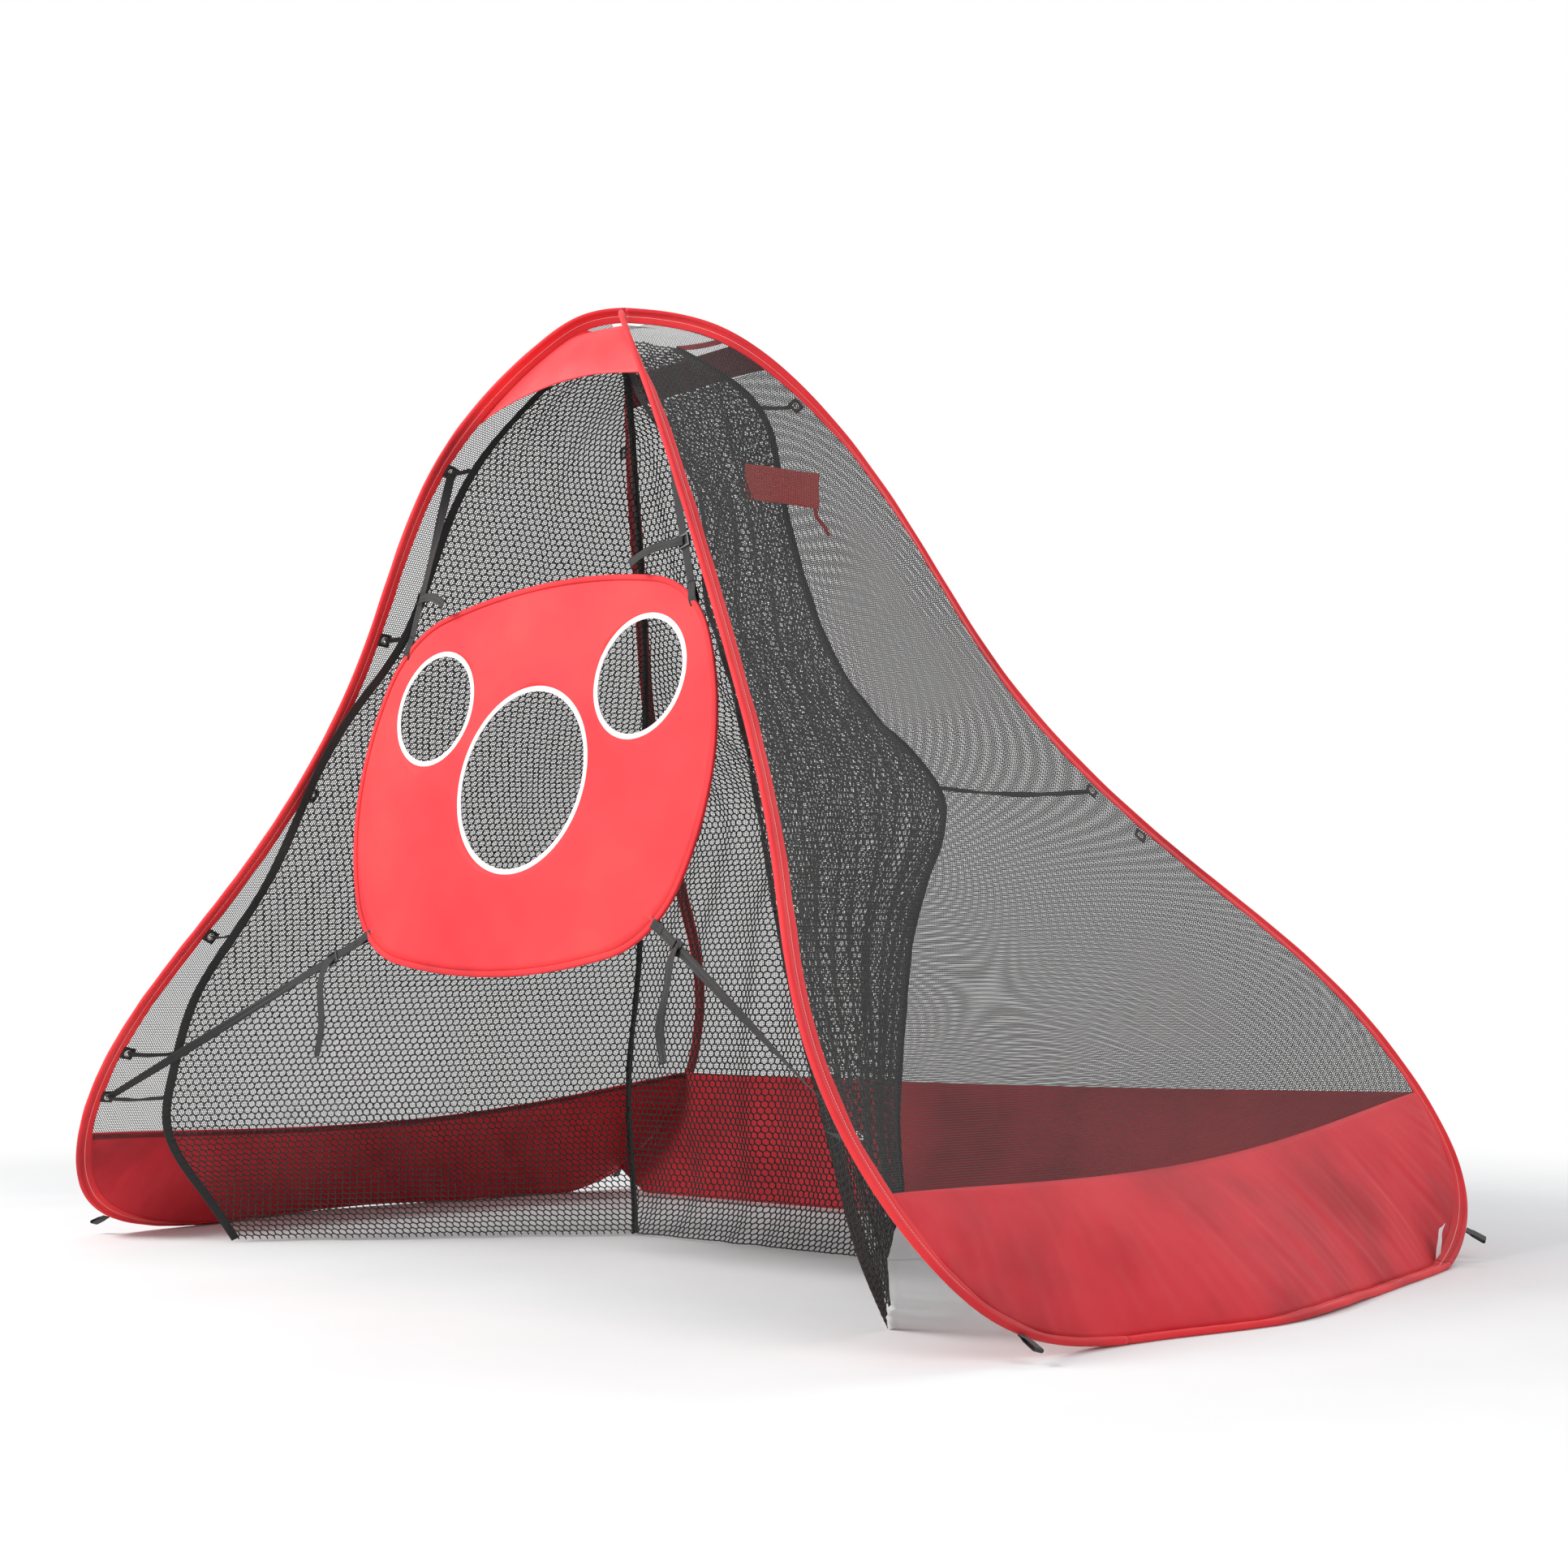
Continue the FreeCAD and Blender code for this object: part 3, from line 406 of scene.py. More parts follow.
def band_block(line, faces, width, thickness, flutter=0.0, seed=0):
    """Webbing along a line; faces gives the way its flat side looks, at each point or in all.
    Flutter turns it about its own line by a little, back and forth."""
    line = np.asarray(line, float)
    along = unit(np.gradient(line, axis=0))
    faces = np.broadcast_to(np.asarray(faces, float), line.shape)
    out = unit(faces - along * dot(faces, along))
    across = np.cross(along, out)
    turn = flutter * ripple(reach_along(line) * 40, 0 * line[:, 0], seed)
    turn = (turn * np.sin(steps(len(line)) * math.pi))[:, None]
    c, s = np.cos(turn), np.sin(turn)
    profile = band_profile(width, thickness)
    rings = carried(line, across * c + out * s, out * c - across * s, profile)
    return sweep_block(rings, reach_along(line), ring_lengths(profile))


def straight(start, end, count=24, drop=0.0):
    """A line between two points that hangs below the straight one by a half sine."""
    share = steps(count)[:, None]
    hang = drop * np.sin(share * math.pi) * (0, 0, 1)
    return mix(np.asarray(start), np.asarray(end), share) - hang


# ================================================================== materials
def linear(code, alpha=1.0):
    """A colour written as sRGB hex, as the linear numbers that shaders take."""
    srgb = np.array([int(code[i:i + 2], 16) for i in (1, 3, 5)]) / 255
    return (*np.where(srgb <= 0.04045, srgb / 12.92, ((srgb + 0.055) / 1.055) ** 2.4), alpha)


def node(tree, kind, wires=None, stops=(), **settings):
    """Adds a node: its settings, a colour ramp's stops as (position, hex), and for each input
    the number, node or socket that it gets."""
    made = tree.nodes.new("ShaderNode" + kind)
    for name, value in settings.items():
        setattr(made, name, value)
    for k, (position, code) in enumerate(stops):
        elements = made.color_ramp.elements
        stop = elements[k] if k < 2 else elements.new(position)
        stop.position, stop.color = position, linear(code)
    for socket, value in (wires or {}).items():
        if isinstance(value, bpy.types.Node):
            value = value.outputs[0]
        if isinstance(value, bpy.types.NodeSocket):
            tree.links.new(value, made.inputs[socket])
        else:
            made.inputs[socket].default_value = value
    return made


def maths(tree, operation, *inputs):
    """A Math node on one to three numbers, nodes or sockets."""
    return node(tree, "Math", dict(enumerate(inputs)), operation=operation)


def vectors(tree, operation, *inputs):
    """The same for vectors."""
    return node(tree, "VectorMath", dict(enumerate(inputs)), operation=operation)


def object_noise(tree, scale, detail):
    """Cloudy noise that keeps its place on the object."""
    spot = node(tree, "TexCoord").outputs["Object"]
    return node(tree, "TexNoise", {"Vector": spot, "Scale": scale, "Detail": detail})


def flat_places(tree):
    """Distances over a piece as it lies flat: along it, and across it."""
    return node(tree, "SeparateXYZ", {0: node(tree, "UVMap", uv_map="flat")}).outputs[:2]


def ramp(tree, value, places, tones):
    return node(tree, "ValToRGB", {0: value}, stops=list(zip(places, tones)))


def start_material(name, **fixed):
    """A new material with its surface shader's uniform numbers set."""
    made = bpy.data.materials.new(name)
    made.use_nodes = True
    shader = made.node_tree.nodes["Principled BSDF"]
    for socket, value in fixed.items():
        shader.inputs[socket.replace("_", " ")].default_value = value
    return made, made.node_tree, shader


def end_material(tree, shader, colour, height, strength, distance):
    """Wires the colour and the relief into the shader."""
    tree.links.new(colour, shader.inputs["Base Color"])
    wires = {"Height": height, "Strength": strength, "Distance": distance}
    tree.links.new(node(tree, "Bump", wires).outputs[0], shader.inputs["Normal"])


STITCH_HALF, STITCH_STEP, STITCH_GAP = 0.0006, 0.0026, 0.0007
THREAD = "#F2B9B4"


def woven(name, tones, thread_mm, rough=0.75, sheen=0.08, stitch_v=(), crease=2.4):
    """Plain-weave cloth: warp and weft as crossed ribs, uneven dye, painted shade in the weave's
    hollows, soft creases and, where rows of stitching are given by their place across the
    piece, dashes of thread."""
    made, tree, shader = start_material(name, Roughness=rough, Sheen_Weight=sheen,
                                        Sheen_Roughness=0.4)
    u, v = flat_places(tree)
    tone = ramp(tree, object_noise(tree, 3.2, 4.0), (0.3, 0.5, 0.72), tones)
    turns = 2 * math.pi * 1000 / thread_mm
    warp, weft = (maths(tree, "SINE", maths(tree, "MULTIPLY", way, turns)) for way in (u, v))
    weave = maths(tree, "MULTIPLY", warp, weft)
    soft = maths(tree, "MULTIPLY", object_noise(tree, 24.0, 5.0), crease)
    height = maths(tree, "MULTIPLY_ADD", weave, 0.12, soft)
    # Painted shade: the weave's hollows are darker and its crowns lighter.
    weave_painted_shade = maths(tree, "MULTIPLY_ADD", weave, 0.05, 0.97)
    colour = node(tree, "VectorMath", {0: tone, "Scale": weave_painted_shade}, operation="SCALE").outputs[0]
    for place in stitch_v:
        near = maths(tree, "COMPARE", v, place, STITCH_HALF)
        step = maths(tree, "PINGPONG", u, STITCH_STEP)
        sewn = maths(tree, "MULTIPLY", near, maths(tree, "GREATER_THAN", step, STITCH_GAP))
        colour = node(tree, "Mix", {0: sewn, 6: colour, 7: linear(THREAD)},
                      data_type="RGBA").outputs[2]
    end_material(tree, shader, colour, height, 0.35, 0.0012)
    return made


def webbing_cloth(name, tones, rib_mm=1.8):
    """Woven polypropylene strap: ribs across it, a herringbone along it, painted shade in the ribs'
    hollows and a slight gloss.
    """
    made, tree, shader = start_material(name, Roughness=0.6, Sheen_Weight=0.05)
    u, v = flat_places(tree)
    slant = maths(tree, "ADD", u, maths(tree, "PINGPONG", v, 0.005))
    ribs = maths(tree, "SINE", maths(tree, "MULTIPLY", slant, 2 * math.pi * 1000 / rib_mm))
    # Painted shade: the ribs' hollows are darker, on top of a random tone.
    tone = maths(tree, "MULTIPLY_ADD", ribs, 0.12, object_noise(tree, 30.0, 5.0))
    colour = ramp(tree, tone, (0.3, 0.75), tones)
    end_material(tree, shader, colour.outputs[0], ribs, 0.5, 0.0004)
    return made


def knitted_mesh(name, thread, pitch, open_share):
    """Warp-knitted mesh: round holes on a six-sided grid, cut through by the alpha, in dull
    black yarn.  Distance to the nearer of two grids of hole centres gives the hole."""
    made, tree, shader = start_material(name, Roughness=0.8, Sheen_Weight=0.1)
    place = node(tree, "UVMap", uv_map="flat")
    scale = (1 / pitch, 1 / pitch / math.sqrt(3), 0)
    scaled = vectors(tree, "MULTIPLY", place, scale)
    away = []
    for shift in ((0, 0, 0), (0.5, 0.5, 0)):
        part = vectors(tree, "FRACTION", vectors(tree, "ADD", scaled, shift))
        centred = vectors(tree, "SUBTRACT", part, (0.5, 0.5, 0))
        true = vectors(tree, "MULTIPLY", centred, (1, math.sqrt(3), 0))
        away.append(vectors(tree, "LENGTH", true).outputs["Value"])
    nearest = maths(tree, "MINIMUM", *away)
    radius = math.sqrt(open_share * math.sqrt(3) / 2 / math.pi)
    yarn = maths(tree, "GREATER_THAN", nearest, radius)
    tree.links.new(yarn.outputs[0], shader.inputs["Alpha"])
    colour = ramp(tree, object_noise(tree, 9.0, 4.0), (0.3, 0.75), thread)
    end_material(tree, shader, colour.outputs[0], nearest.outputs[0], 0.4, 0.0005)
    return made


def hard(name, tones, scale, bump, **fixed):
    """A solid material with slight unevenness in tone and relief."""
    made, tree, shader = start_material(name, **fixed)
    cloud = object_noise(tree, scale, 5.0)
    colour = ramp(tree, cloud, (0.3, 0.7), tones)
    end_material(tree, shader, colour.outputs[0], cloud.outputs[0], bump, 0.0004)
    return made


def sleeve_profile():
    """Outline of the stitched sleeve: the channel's round, its pinch at the seam with a
    groove for the stitches, and the flat hem."""
    bulb = BULB_RADIUS * on_circle(np.radians(np.linspace(40, 320, 15)))
    hem = np.array([(8.2, 1.9), (11.2, 1.3), (13.2, 1.25), (14.0, 0.8), (14.8, 1.25), (21.0, 1.2),
                    (27.6, 1.25), (29.1, 0.8), (29.4, 0.0)]) / 1000
    return np.concatenate([bulb, hem * (1, -1), hem[-2::-1]])


SLEEVE = sleeve_profile()
around_sleeve = ring_lengths(SLEEVE)
SEAM_ROWS = [around_sleeve[k] for k, p in enumerate(SLEEVE) if abs(p[0] - 0.014) < 1e-6]

# The reds are one polyester cloth, dyed, in light and heavy weaves; the weave is drawn at
# three times its real 0.4 mm so that it shows. Their tones differ by painted light and shade:
# the target lighter, the floor strips darker and the back cap far darker.
RED = ("#B5121D", "#DC2028", "#E63134")
sleeve_cloth = woven("polyester_sleeve_cloth_dyed_red", RED, 1.2, stitch_v=SEAM_ROWS)
# The floor strips are the same red cloth; their tones are painted darker as shade.
strip_cloth_painted_shade = woven("polyester_oxford_red_painted_shade", ("#A8141F", "#CB2430", "#D8323B"), 1.4, sheen=0.05,
                    crease=3.2)
flap_cloth = woven("ripstop_polyester_coated_red", RED, 1.0, rough=0.5, sheen=0.05, crease=3.0)
# The back cap is the same red cloth; its tones are painted far darker as shade.
cap_cloth_painted_shade = woven("mesh_backed_polyester_red_painted_shade", ("#4A0810", "#7A1420", "#8C1C28"), 2.4)
# The target panel's tones are painted lighter than the sleeves' red, as light.
target_cloth_painted_light = woven("polyester_target_cloth_stretched_red_painted_light", ("#D01C26", "#E62A30", "#EC3A38"), 1.2,
                     rough=0.7, sheen=0.05, crease=1.2)
rim_cloth = woven("polyester_rim_channel_folded_red", RED, 1.2)
white_binding = woven("cotton_binding_folded_white", ("#DDD2D0", "#F1E8E6", "#FFF6F4"), 1.0,
                      crease=1.5)
label_cloth = woven("satin_label_tape_white", ("#D9D6D8", "#ECEAEB", "#F8F7F7"), 0.8, rough=0.5)
# The fold label's tones are painted lighter as light, against the shade of the mesh over it.
flag_cloth_painted_light = woven("satin_label_cloth_red_painted_light", ("#E8302F", "#FF4A46", "#FF625B"), 0.8, rough=0.45)
ribbon_cloth = woven("satin_ribbon_red", RED, 0.8, rough=0.4)
black_tape = woven("polyester_binding_tape_black", ("#060605", "#0E0D0C", "#191715"), 1.6,
                   crease=1.5)
black_webbing = webbing_cloth("polypropylene_webbing_woven_black", ("#050505", "#171615"))
# Fine knitted mesh: 5.6 mm from hole to hole, a little under half of it open.
fine_mesh = knitted_mesh("polyester_mesh_knitted_black", ("#090807", "#161412"), 0.0056, 0.46)
netting_cord = hard("nylon_cord_knotless_netting_black", ("#0A0A08", "#1C1A17"), 60, 0.3,
                    Roughness=0.7, Sheen_Weight=0.1)
nickel = hard("brass_grommet_nickel_plated", ("#A9A49C", "#D8D3CB"), 220, 0.05, Metallic=1.0,
              Roughness=0.26)
acetal = hard("acetal_slider_moulded_black", ("#0C0C0C", "#1B1B1A"), 160, 0.12, Roughness=0.38)
fibreglass = hard("fibreglass_rod_pultruded", ("#B9B08E", "#D6CFB0"), 180, 0.1, Roughness=0.45)
steel = hard("steel_tube_drawn", ("#8C8C8D", "#B4B4B6"), 300, 0.05, Metallic=1.0, Roughness=0.35)

# ================================================================== the frame, dressed
SIDES = (("right", 1, right_hoop, front_right, floor_right, back_right),
         ("left", -1, left_hoop, front_left, floor_left, back_left))


def sleeve(name, leg, seed):
    """The sleeve's outline carried along a leg; the channel swells and pinches between the
    stitches and the hem waves from side to side."""
    u = reach_along(leg.point)
    profile = np.repeat(SLEEVE[None], len(u), 0)
    a, b = np.meshgrid(u * 55, np.arange(len(SLEEVE)) * 0.9, indexing="ij")
    swell = 1 + 0.06 * ripple(a, b, seed)
    in_bulb = SLEEVE[:, 0] < BULB_RADIUS
    profile[:, in_bulb] *= swell[:, in_bulb, None]
    share = np.clip(SLEEVE[:, 0] / HEM_REACH, 0, 1) ** 2
    profile[..., 1] += 0.0012 * share * ripple(u * 45, 0 * u, seed + 1)[:, None]
    rings = carried(leg.point, leg.hem, leg.side, profile)
    rings[..., 2] = np.maximum(rings[..., 2], 0.0002)
    block = sweep_block(rings, u, around_sleeve)
    build(f"cloth_{name}", [block], sleeve_cloth, "frame", [name])


for name, side, _, *legs in SIDES:
    for k, (run, leg) in enumerate(zip(("front", "floor", "back"), legs)):
        sleeve(f"sleeve_{run}_{name}", leg, 10 * (k + 1) + side)


def round_tube(line, radius, corners=12):
    """A plain round bar along a line, its corners turned round the line's own direction."""
    along = unit(np.gradient(line, axis=0))
    out = unit(np.array([0, 0, 1]) - along * along[:, 2:] + 1e-6)
    profile = radius * on_circle(full_turn(corners))
    rings = carried(line, np.cross(along, out), out, profile)
    return sweep_block(rings, reach_along(line), ring_lengths(profile))


def arch(down_one, down_other):
    """A rod's line: up one leg from the middle of its ground run and down the other."""
    return np.concatenate([down_one[::-1], down_other[1:]])[::3]


def halves(whole):
    middle = np.argmin(np.abs(whole.point[:, 1]) + (whole.point[:, 2] > GROUND + 0.001) * 9)
    return whole.point[:middle + 1], whole.point[middle:][::-1]


right_front_half, right_back_half = halves(right_hoop)
left_front_half, left_back_half = halves(left_hoop)
for name, line in (("upper", arch(left_front_half, right_back_half)),
                   ("lower", arch(right_front_half, left_back_half))):
    build(f"rod_of_{name}_arch", [round_tube(line, ROD_RADIUS)], fibreglass, "frame",
          [f"rod_{name}_arch"])
ferrules = [whole.point[len(half) - 5:len(half) + 4] for whole, half in
            ((right_hoop, right_front_half), (left_hoop, left_front_half))]
build("ferrules", [round_tube(line, ROD_RADIUS + 0.0005) for line in ferrules], steel, "frame",
      ["rod_ferrules"])


# ================================================================== walls and strips
SEAM_OVERLAP = 0.003            # how far a wall's edge lies under the hem's
HEM_OVERLAP = 0.018             # how far a wall reaches down behind a strip's top hem
STRIP_SIDE = -(HEM_HALF + 0.0003 + STRIP_CLOTH / 2)     # cloth sewn onto the hem's inner face


def seam_line(leg, side=0.0, reach=HEM_REACH - SEAM_OVERLAP):
    return leg.at(reach, side)


def strip_sag(share):
    return STRIP_SAG * np.sin(math.pi * share) ** 1.2


def side_wall(front, back, rows=90, columns=110):
    """Mesh from leg to leg at matching heights.  Its foot hangs with the strip's top hem, and
    its middle is drawn in a little between the hoops."""
    down = steps(rows)[:, None]
    ends = []
    for leg, low in ((front, STRIP_FRONT), (back, STRIP_BACK)):
        top = leg.point[0, 2] - 0.003
        ends.append(seam_line(leg.at_height(mix(top, low - HEM_OVERLAP, down[:, 0]))))
    share = steps(columns)
    grid = spanned(*ends, share)
    grid[..., 2] -= strip_sag(share) * down**3
    pull = np.sin(math.pi * share) * np.sin(math.pi * down) ** 0.8
    a, b = np.meshgrid(down[:, 0] * 9, share * 9, indexing="ij")
    inward = 0.022 + 0.008 * ripple(a, b, 41)
    grid[..., 0] -= np.sign(grid[..., 0]) * pull * inward
    return grid


def low_stations(front, floor, back):
    """The stations of one side below its strip's top hem, from front to back."""
    def below(leg, top):
        return leg.each(lambda a: a[leg.point[:, 2] < top])
    legs = (below(front, STRIP_FRONT), floor, below(back, STRIP_BACK).each(lambda a: a[::-1]))
    return Leg(*map(np.concatenate, zip(*(leg.parts for leg in legs))))


def side_strip(front, floor, back, seed, rows=30, columns=240):
    """Cloth from a top hem that hangs between the legs, down to the hoop on the ground.  It
    bellies out, with creases that run up from the seam."""
    edge = low_stations(front, floor, back)
    foot = evenly(seam_line(edge), columns)
    reach = reach_along(foot) / reach_along(foot)[-1]
    head = mix(foot[:1], foot[-1:], reach[:, None])
    head[:, 2] -= strip_sag(reach)
    down = steps(rows)[:, None, None]
    grid = mix(head[None], foot[None], down)
    outward = unit(np.cross(foot[-1] - foot[0], (0, 0, 1)) * np.sign(foot[0, 0]))
    outward = outward * np.sign(outward[0] * foot[0, 0])
    belly = np.sin(math.pi * reach)[None, :, None] ** 0.6 * np.sin(math.pi * down**0.8)
    a, b = np.meshgrid(down[:, 0, 0] * 3.2, reach * 34, indexing="ij")
    low = (steps(rows) ** 0.7 * np.sin(math.pi * steps(rows)) ** 0.4)[:, None]
    crease = 0.006 * ripple(a, b, seed) * low + 0.0045 * ripple(a * 2, b * 3.4, seed + 1) * low
    crease = crease + 0.0022 * ripple(a * 2, b * 9, seed + 2) * low
    taper = np.clip(np.sin(math.pi * reach) * 5, 0, 1)
    return grid + outward * (0.020 * belly + (crease * taper)[..., None])


def hem_thickness(rows):
    """Cloth folded double along the top edge of a strip."""
    return np.where(np.arange(rows) < 3, 2.0, 1.0)[:, None, None] * STRIP_CLOTH


def back_strip(rows=30, columns=170):
    """Cloth between the back legs; its foot comes forward and lies on the ground."""
    down = steps(rows)
    z = mix(STRIP_BACK, 0.060, down)
    ends = [seam_line(leg.at_height(z), STRIP_SIDE, HEM_REACH + 0.0007)
            for leg in (back_right, back_left)]
    share = steps(columns)
    grid = spanned(*ends, share)
    bow = np.minimum(1, 3 * (1 - (2 * share - 1) ** 2))
    grid[..., 1] -= BACK_STRIP_SAG * bow * down[:, None]
    grid[..., 2] += bow * (mix(STRIP_BACK, STRIP_CLOTH, down) - z)[:, None]
    a, b = np.meshgrid(down * 3, share * 26, indexing="ij")
    edge = np.sin(math.pi * down)[:, None] * np.sin(math.pi * share)
    grid[..., 1] += 0.012 * ripple(a, b, 61) * edge
    grid[..., 2] -= 0.010 * np.sin(math.pi * share) * (1 - down[:, None])
    return grid


def back_wall(rows=90, columns=120):
    """Mesh between the back legs, from the cap down to the back strip."""
    down = steps(rows)
    z = mix(CAP_BOTTOM, STRIP_BACK - HEM_OVERLAP, down)
    ends = [seam_line(leg.at_height(z), -(HEM_HALF + 0.0004)) for leg in (back_right, back_left)]
    share = steps(columns)
    grid = spanned(*ends, share)
    pull = np.sin(math.pi * share) * np.sin(math.pi * down)[:, None]
    a, b = np.meshgrid(down * 8, share * 8, indexing="ij")
    grid[..., 1] -= pull * (0.020 + 0.008 * ripple(a, b, 43))
    grid[..., 2] -= 0.010 * np.sin(math.pi * share) * down[:, None] ** 3
    return grid


def top_panel(right, left, top, bottom, belly, billow, seed, rows=26, columns=44):
    """Cloth across the top between two legs: its lower edge rises to the middle, it billows
    out a little, and creases fan down from the top."""
    down = steps(rows)
    ends = [seam_line(leg.at_height(mix(top, bottom, down)), STRIP_SIDE, HEM_REACH - 0.001)
            for leg in (right, left)]
    share = steps(columns)
    grid = spanned(*ends, share)
    arc = 1 - (2 * share - 1) ** 2
    grid[..., 2] += belly * down[:, None] * arc
    a, b = np.meshgrid(down * 2.5, share * 9, indexing="ij")
    crease = 0.005 * ripple(a, b, seed) + 0.0025 * ripple(a * 2, b * 2.4, seed + 1)
    loose = np.sin(math.pi * down * 0.6)[:, None]
    grid[..., 1] += (billow * arc + crease * np.minimum(1, 3 * arc)) * loose
    return grid


def cloth(name, grid, thickness, material, node_name, slot, flat, area, sleeves):
    """A sheet sewn to sleeves; flat is the rectangle it is cut from, and is not used.
    With no thickness it is one layer."""
    uv = surface_uv(grid)
    block = open_block(grid, uv) if thickness is None else sheet_block(grid, thickness, uv)
    made = build(name, [block], material, "frame", [node_name])


MESH = (None, fine_mesh)
STRIP = (hem_thickness(30), strip_cloth_painted_shade)
FRONT, BACK = (("front_right", "front_left"), ("back_right", "back_left"))
for name, side, whole, front, floor, back in SIDES:
    cloth(f"mesh_of_wall_{name}", side_wall(front, back), *MESH, f"mesh_wall_{name}",
          "fine_black_mesh", (2.05, 2.10), 2.39, [f"front_{name}", f"back_{name}"])
    cloth(f"cloth_strip_{name}", side_strip(front, floor, back, 50 + side), *STRIP,
          f"floor_strip_{name}", "red_strip_cloth", (2.20, 0.42), 0.62, [f"floor_{name}"])
cloth("mesh_of_wall_back", back_wall(), *MESH, "mesh_wall_back", "fine_black_mesh", (2.50, 2.30),
      2.82, BACK)
cloth("cloth_strip_back", back_strip(), *STRIP, "floor_strip_back", "red_strip_cloth",
      (2.60, 0.45), 1.10, BACK)
flap = top_panel(front_right, front_left, FLAP_TOP, FLAP_BOTTOM, FLAP_BELLY, -0.010, 71)
cloth("cloth_flap_front", flap, 0.001, flap_cloth, "top_flap_front", "red_ripstop", (0.46, 0.24),
      0.069, FRONT)
cap = top_panel(back_right, back_left, CAP_TOP, CAP_BOTTOM, 0.006, 0.004, 73)
cloth("cloth_cap_back", cap, 0.001, cap_cloth_painted_shade, "top_cap_back", "dark_red_cap_cloth", (0.44, 0.10),
      0.033, BACK)


# ================================================================== the netting bag
border, seam = smooth_line(NET_BORDER, 400), smooth_line(NET_SEAM, 400)


def tape(edge, side_name, line, partner, seed):
    """Binding folded over the netting's edge, with its flat side along the panel."""
    along = unit(np.gradient(line, axis=0))
    towards = partner - line
    across = unit(towards - along * dot(towards, along))
    block = band_block(line, np.cross(along, across), *TAPE, flutter=0.25, seed=seed)
    build(f"tape_of_net_{edge}_{side_name}", [block], black_tape, "frame",
          [f"net_{edge}_tape_{side_name}"])


def netting(name, near, far, seed, node_name, slack=0.012):
    """Six-sided cells of cord on a panel between two edges.  The cells are laid out flat, cut
    off at the edges, and carried onto the panel, which hangs in soft upright folds.  Each
    strand is a three-sided bar."""
    width = np.linalg.norm(far - near, axis=1)
    drop = (reach_along(near)[-1] + reach_along(far)[-1]) / 2
    rise = CELL / math.sqrt(3)
    row_step = 1.5 * rise
    rows, columns = int(drop / row_step) + 1, int(width.max() / CELL) + 2
    r, c = np.meshgrid(np.arange(rows), np.arange(columns), indexing="ij")
    centre = np.stack([(c + (r % 2) / 2) * CELL, r * row_step], -1).reshape(-1, 1, 1, 2)
    corner = np.array([(CELL / 2, -rise / 2), (CELL / 2, rise / 2), (0, rise),
                       (-CELL / 2, rise / 2)])
    ends = (centre + corner[[[0, 1], [1, 2], [2, 3]]]).reshape(-1, 2, 2)
    limit = np.interp(ends[..., 1] / drop, steps(len(width)), width)
    inside = ((ends >= 0).all(-1) & (ends[..., 0] <= limit) & (ends[..., 1] <= drop)).any(1)
    ends, limit = ends[inside], limit[inside]
    ends[..., 0] = np.clip(ends[..., 0], 0, limit)
    ends[..., 1] = np.clip(ends[..., 1], 0, drop)
    down = ends[..., 1] / drop
    across = (ends[..., 0] / np.maximum(limit, 1e-6))[..., None]
    edge = [between(down, steps(len(near)), line) for line in (near, far)]
    point = mix(*edge, across)
    normal = unit(np.cross(edge[1] - edge[0], (0, 0, 1)))
    hold = np.sin(math.pi * across) ** 0.7
    folds = slack * ripple(ends[..., 0] * 40, ends[..., 1] * 3.5, seed)
    folds = folds + slack * 0.4 * ripple(ends[..., 0] * 90, ends[..., 1] * 12, seed + 1)
    point = point + normal * hold * folds[..., None]
    point[..., 2] = np.maximum(point[..., 2], 0.002)
    along = unit(point[:, 1] - point[:, 0])
    point[:, 0] -= along * CORD_RADIUS * 0.4
    point[:, 1] += along * CORD_RADIUS * 0.4
    flat = unit(np.cross(along, normal[:, 0]))
    out = np.cross(flat, along)
    c, s = on_circle(np.arange(3) * 2 * math.pi / 3).T[..., None]
    ring = CORD_RADIUS * (flat[:, None] * c + out[:, None] * s)
    points = (point[:, :, None] + ring[:, None]).reshape(-1, 3)
    base = np.arange(len(point))[:, None] * 6
    sides = np.array([(0, 1, 4, 3), (1, 2, 5, 4), (2, 0, 3, 5)])
    quads = (base[:, None] + sides).reshape(-1, 4)
    caps = (base[:, None] + np.array([(2, 1, 0), (3, 4, 5)])).reshape(-1, 3)
    flat_uv = np.repeat(ends.reshape(-1, 2), 3, axis=0)
    block = faced_outwards_bars(points, [(quads, flat_uv[quads]), (caps, flat_uv[caps])])
    build(name, [block], netting_cord, "frame", [node_name])


def faced_outwards_bars(points, parts):
    """Turns all bars round if the first one's faces look inwards."""
    middle = points[:6].mean(0)
    a, b, c = points[parts[0][0][0, :3]]
    if np.dot(np.cross(b - a, c - a), a - middle) < 0:
        parts = [(faces[:, ::-1], uv[:, ::-1]) for faces, uv in parts]
    return points, parts


left_border, left_seam = mirrored(border), mirrored(seam)
for name, near, far, seed in (("right", border, seam, 81), ("left", left_border, left_seam, 83),
                              ("back", seam, left_seam, 85)):
    netting(f"cords_of_net_{name}", near, far, seed, f"net_{name}")
tape("border", "right", border, seam, 91)
tape("border", "left", left_border, left_seam, 92)
tape("seam", "right", seam, left_seam, 93)
tape("seam", "left", left_seam, seam, 94)


# ================================================================== grommets and ties
def tab_place(leg, z, end):
    """Middle of a tab and its three directions: out from the hem, along it, and its side."""
    station = leg.at_height(z)
    edge, off = TAB_EDGE[end]
    hem, side = unit(station.hem[0]), unit(station.side[0])
    c, s = math.cos(TAB_TURN), math.sin(TAB_TURN)
    out, turned = hem * c - side * s, side * c + hem * s
    middle = station.at(HEM_REACH + edge, -TAB_RISE - off)[0] + out * TAB_SIDE / 2
    return middle, out, unit(np.cross(turned, out)), turned


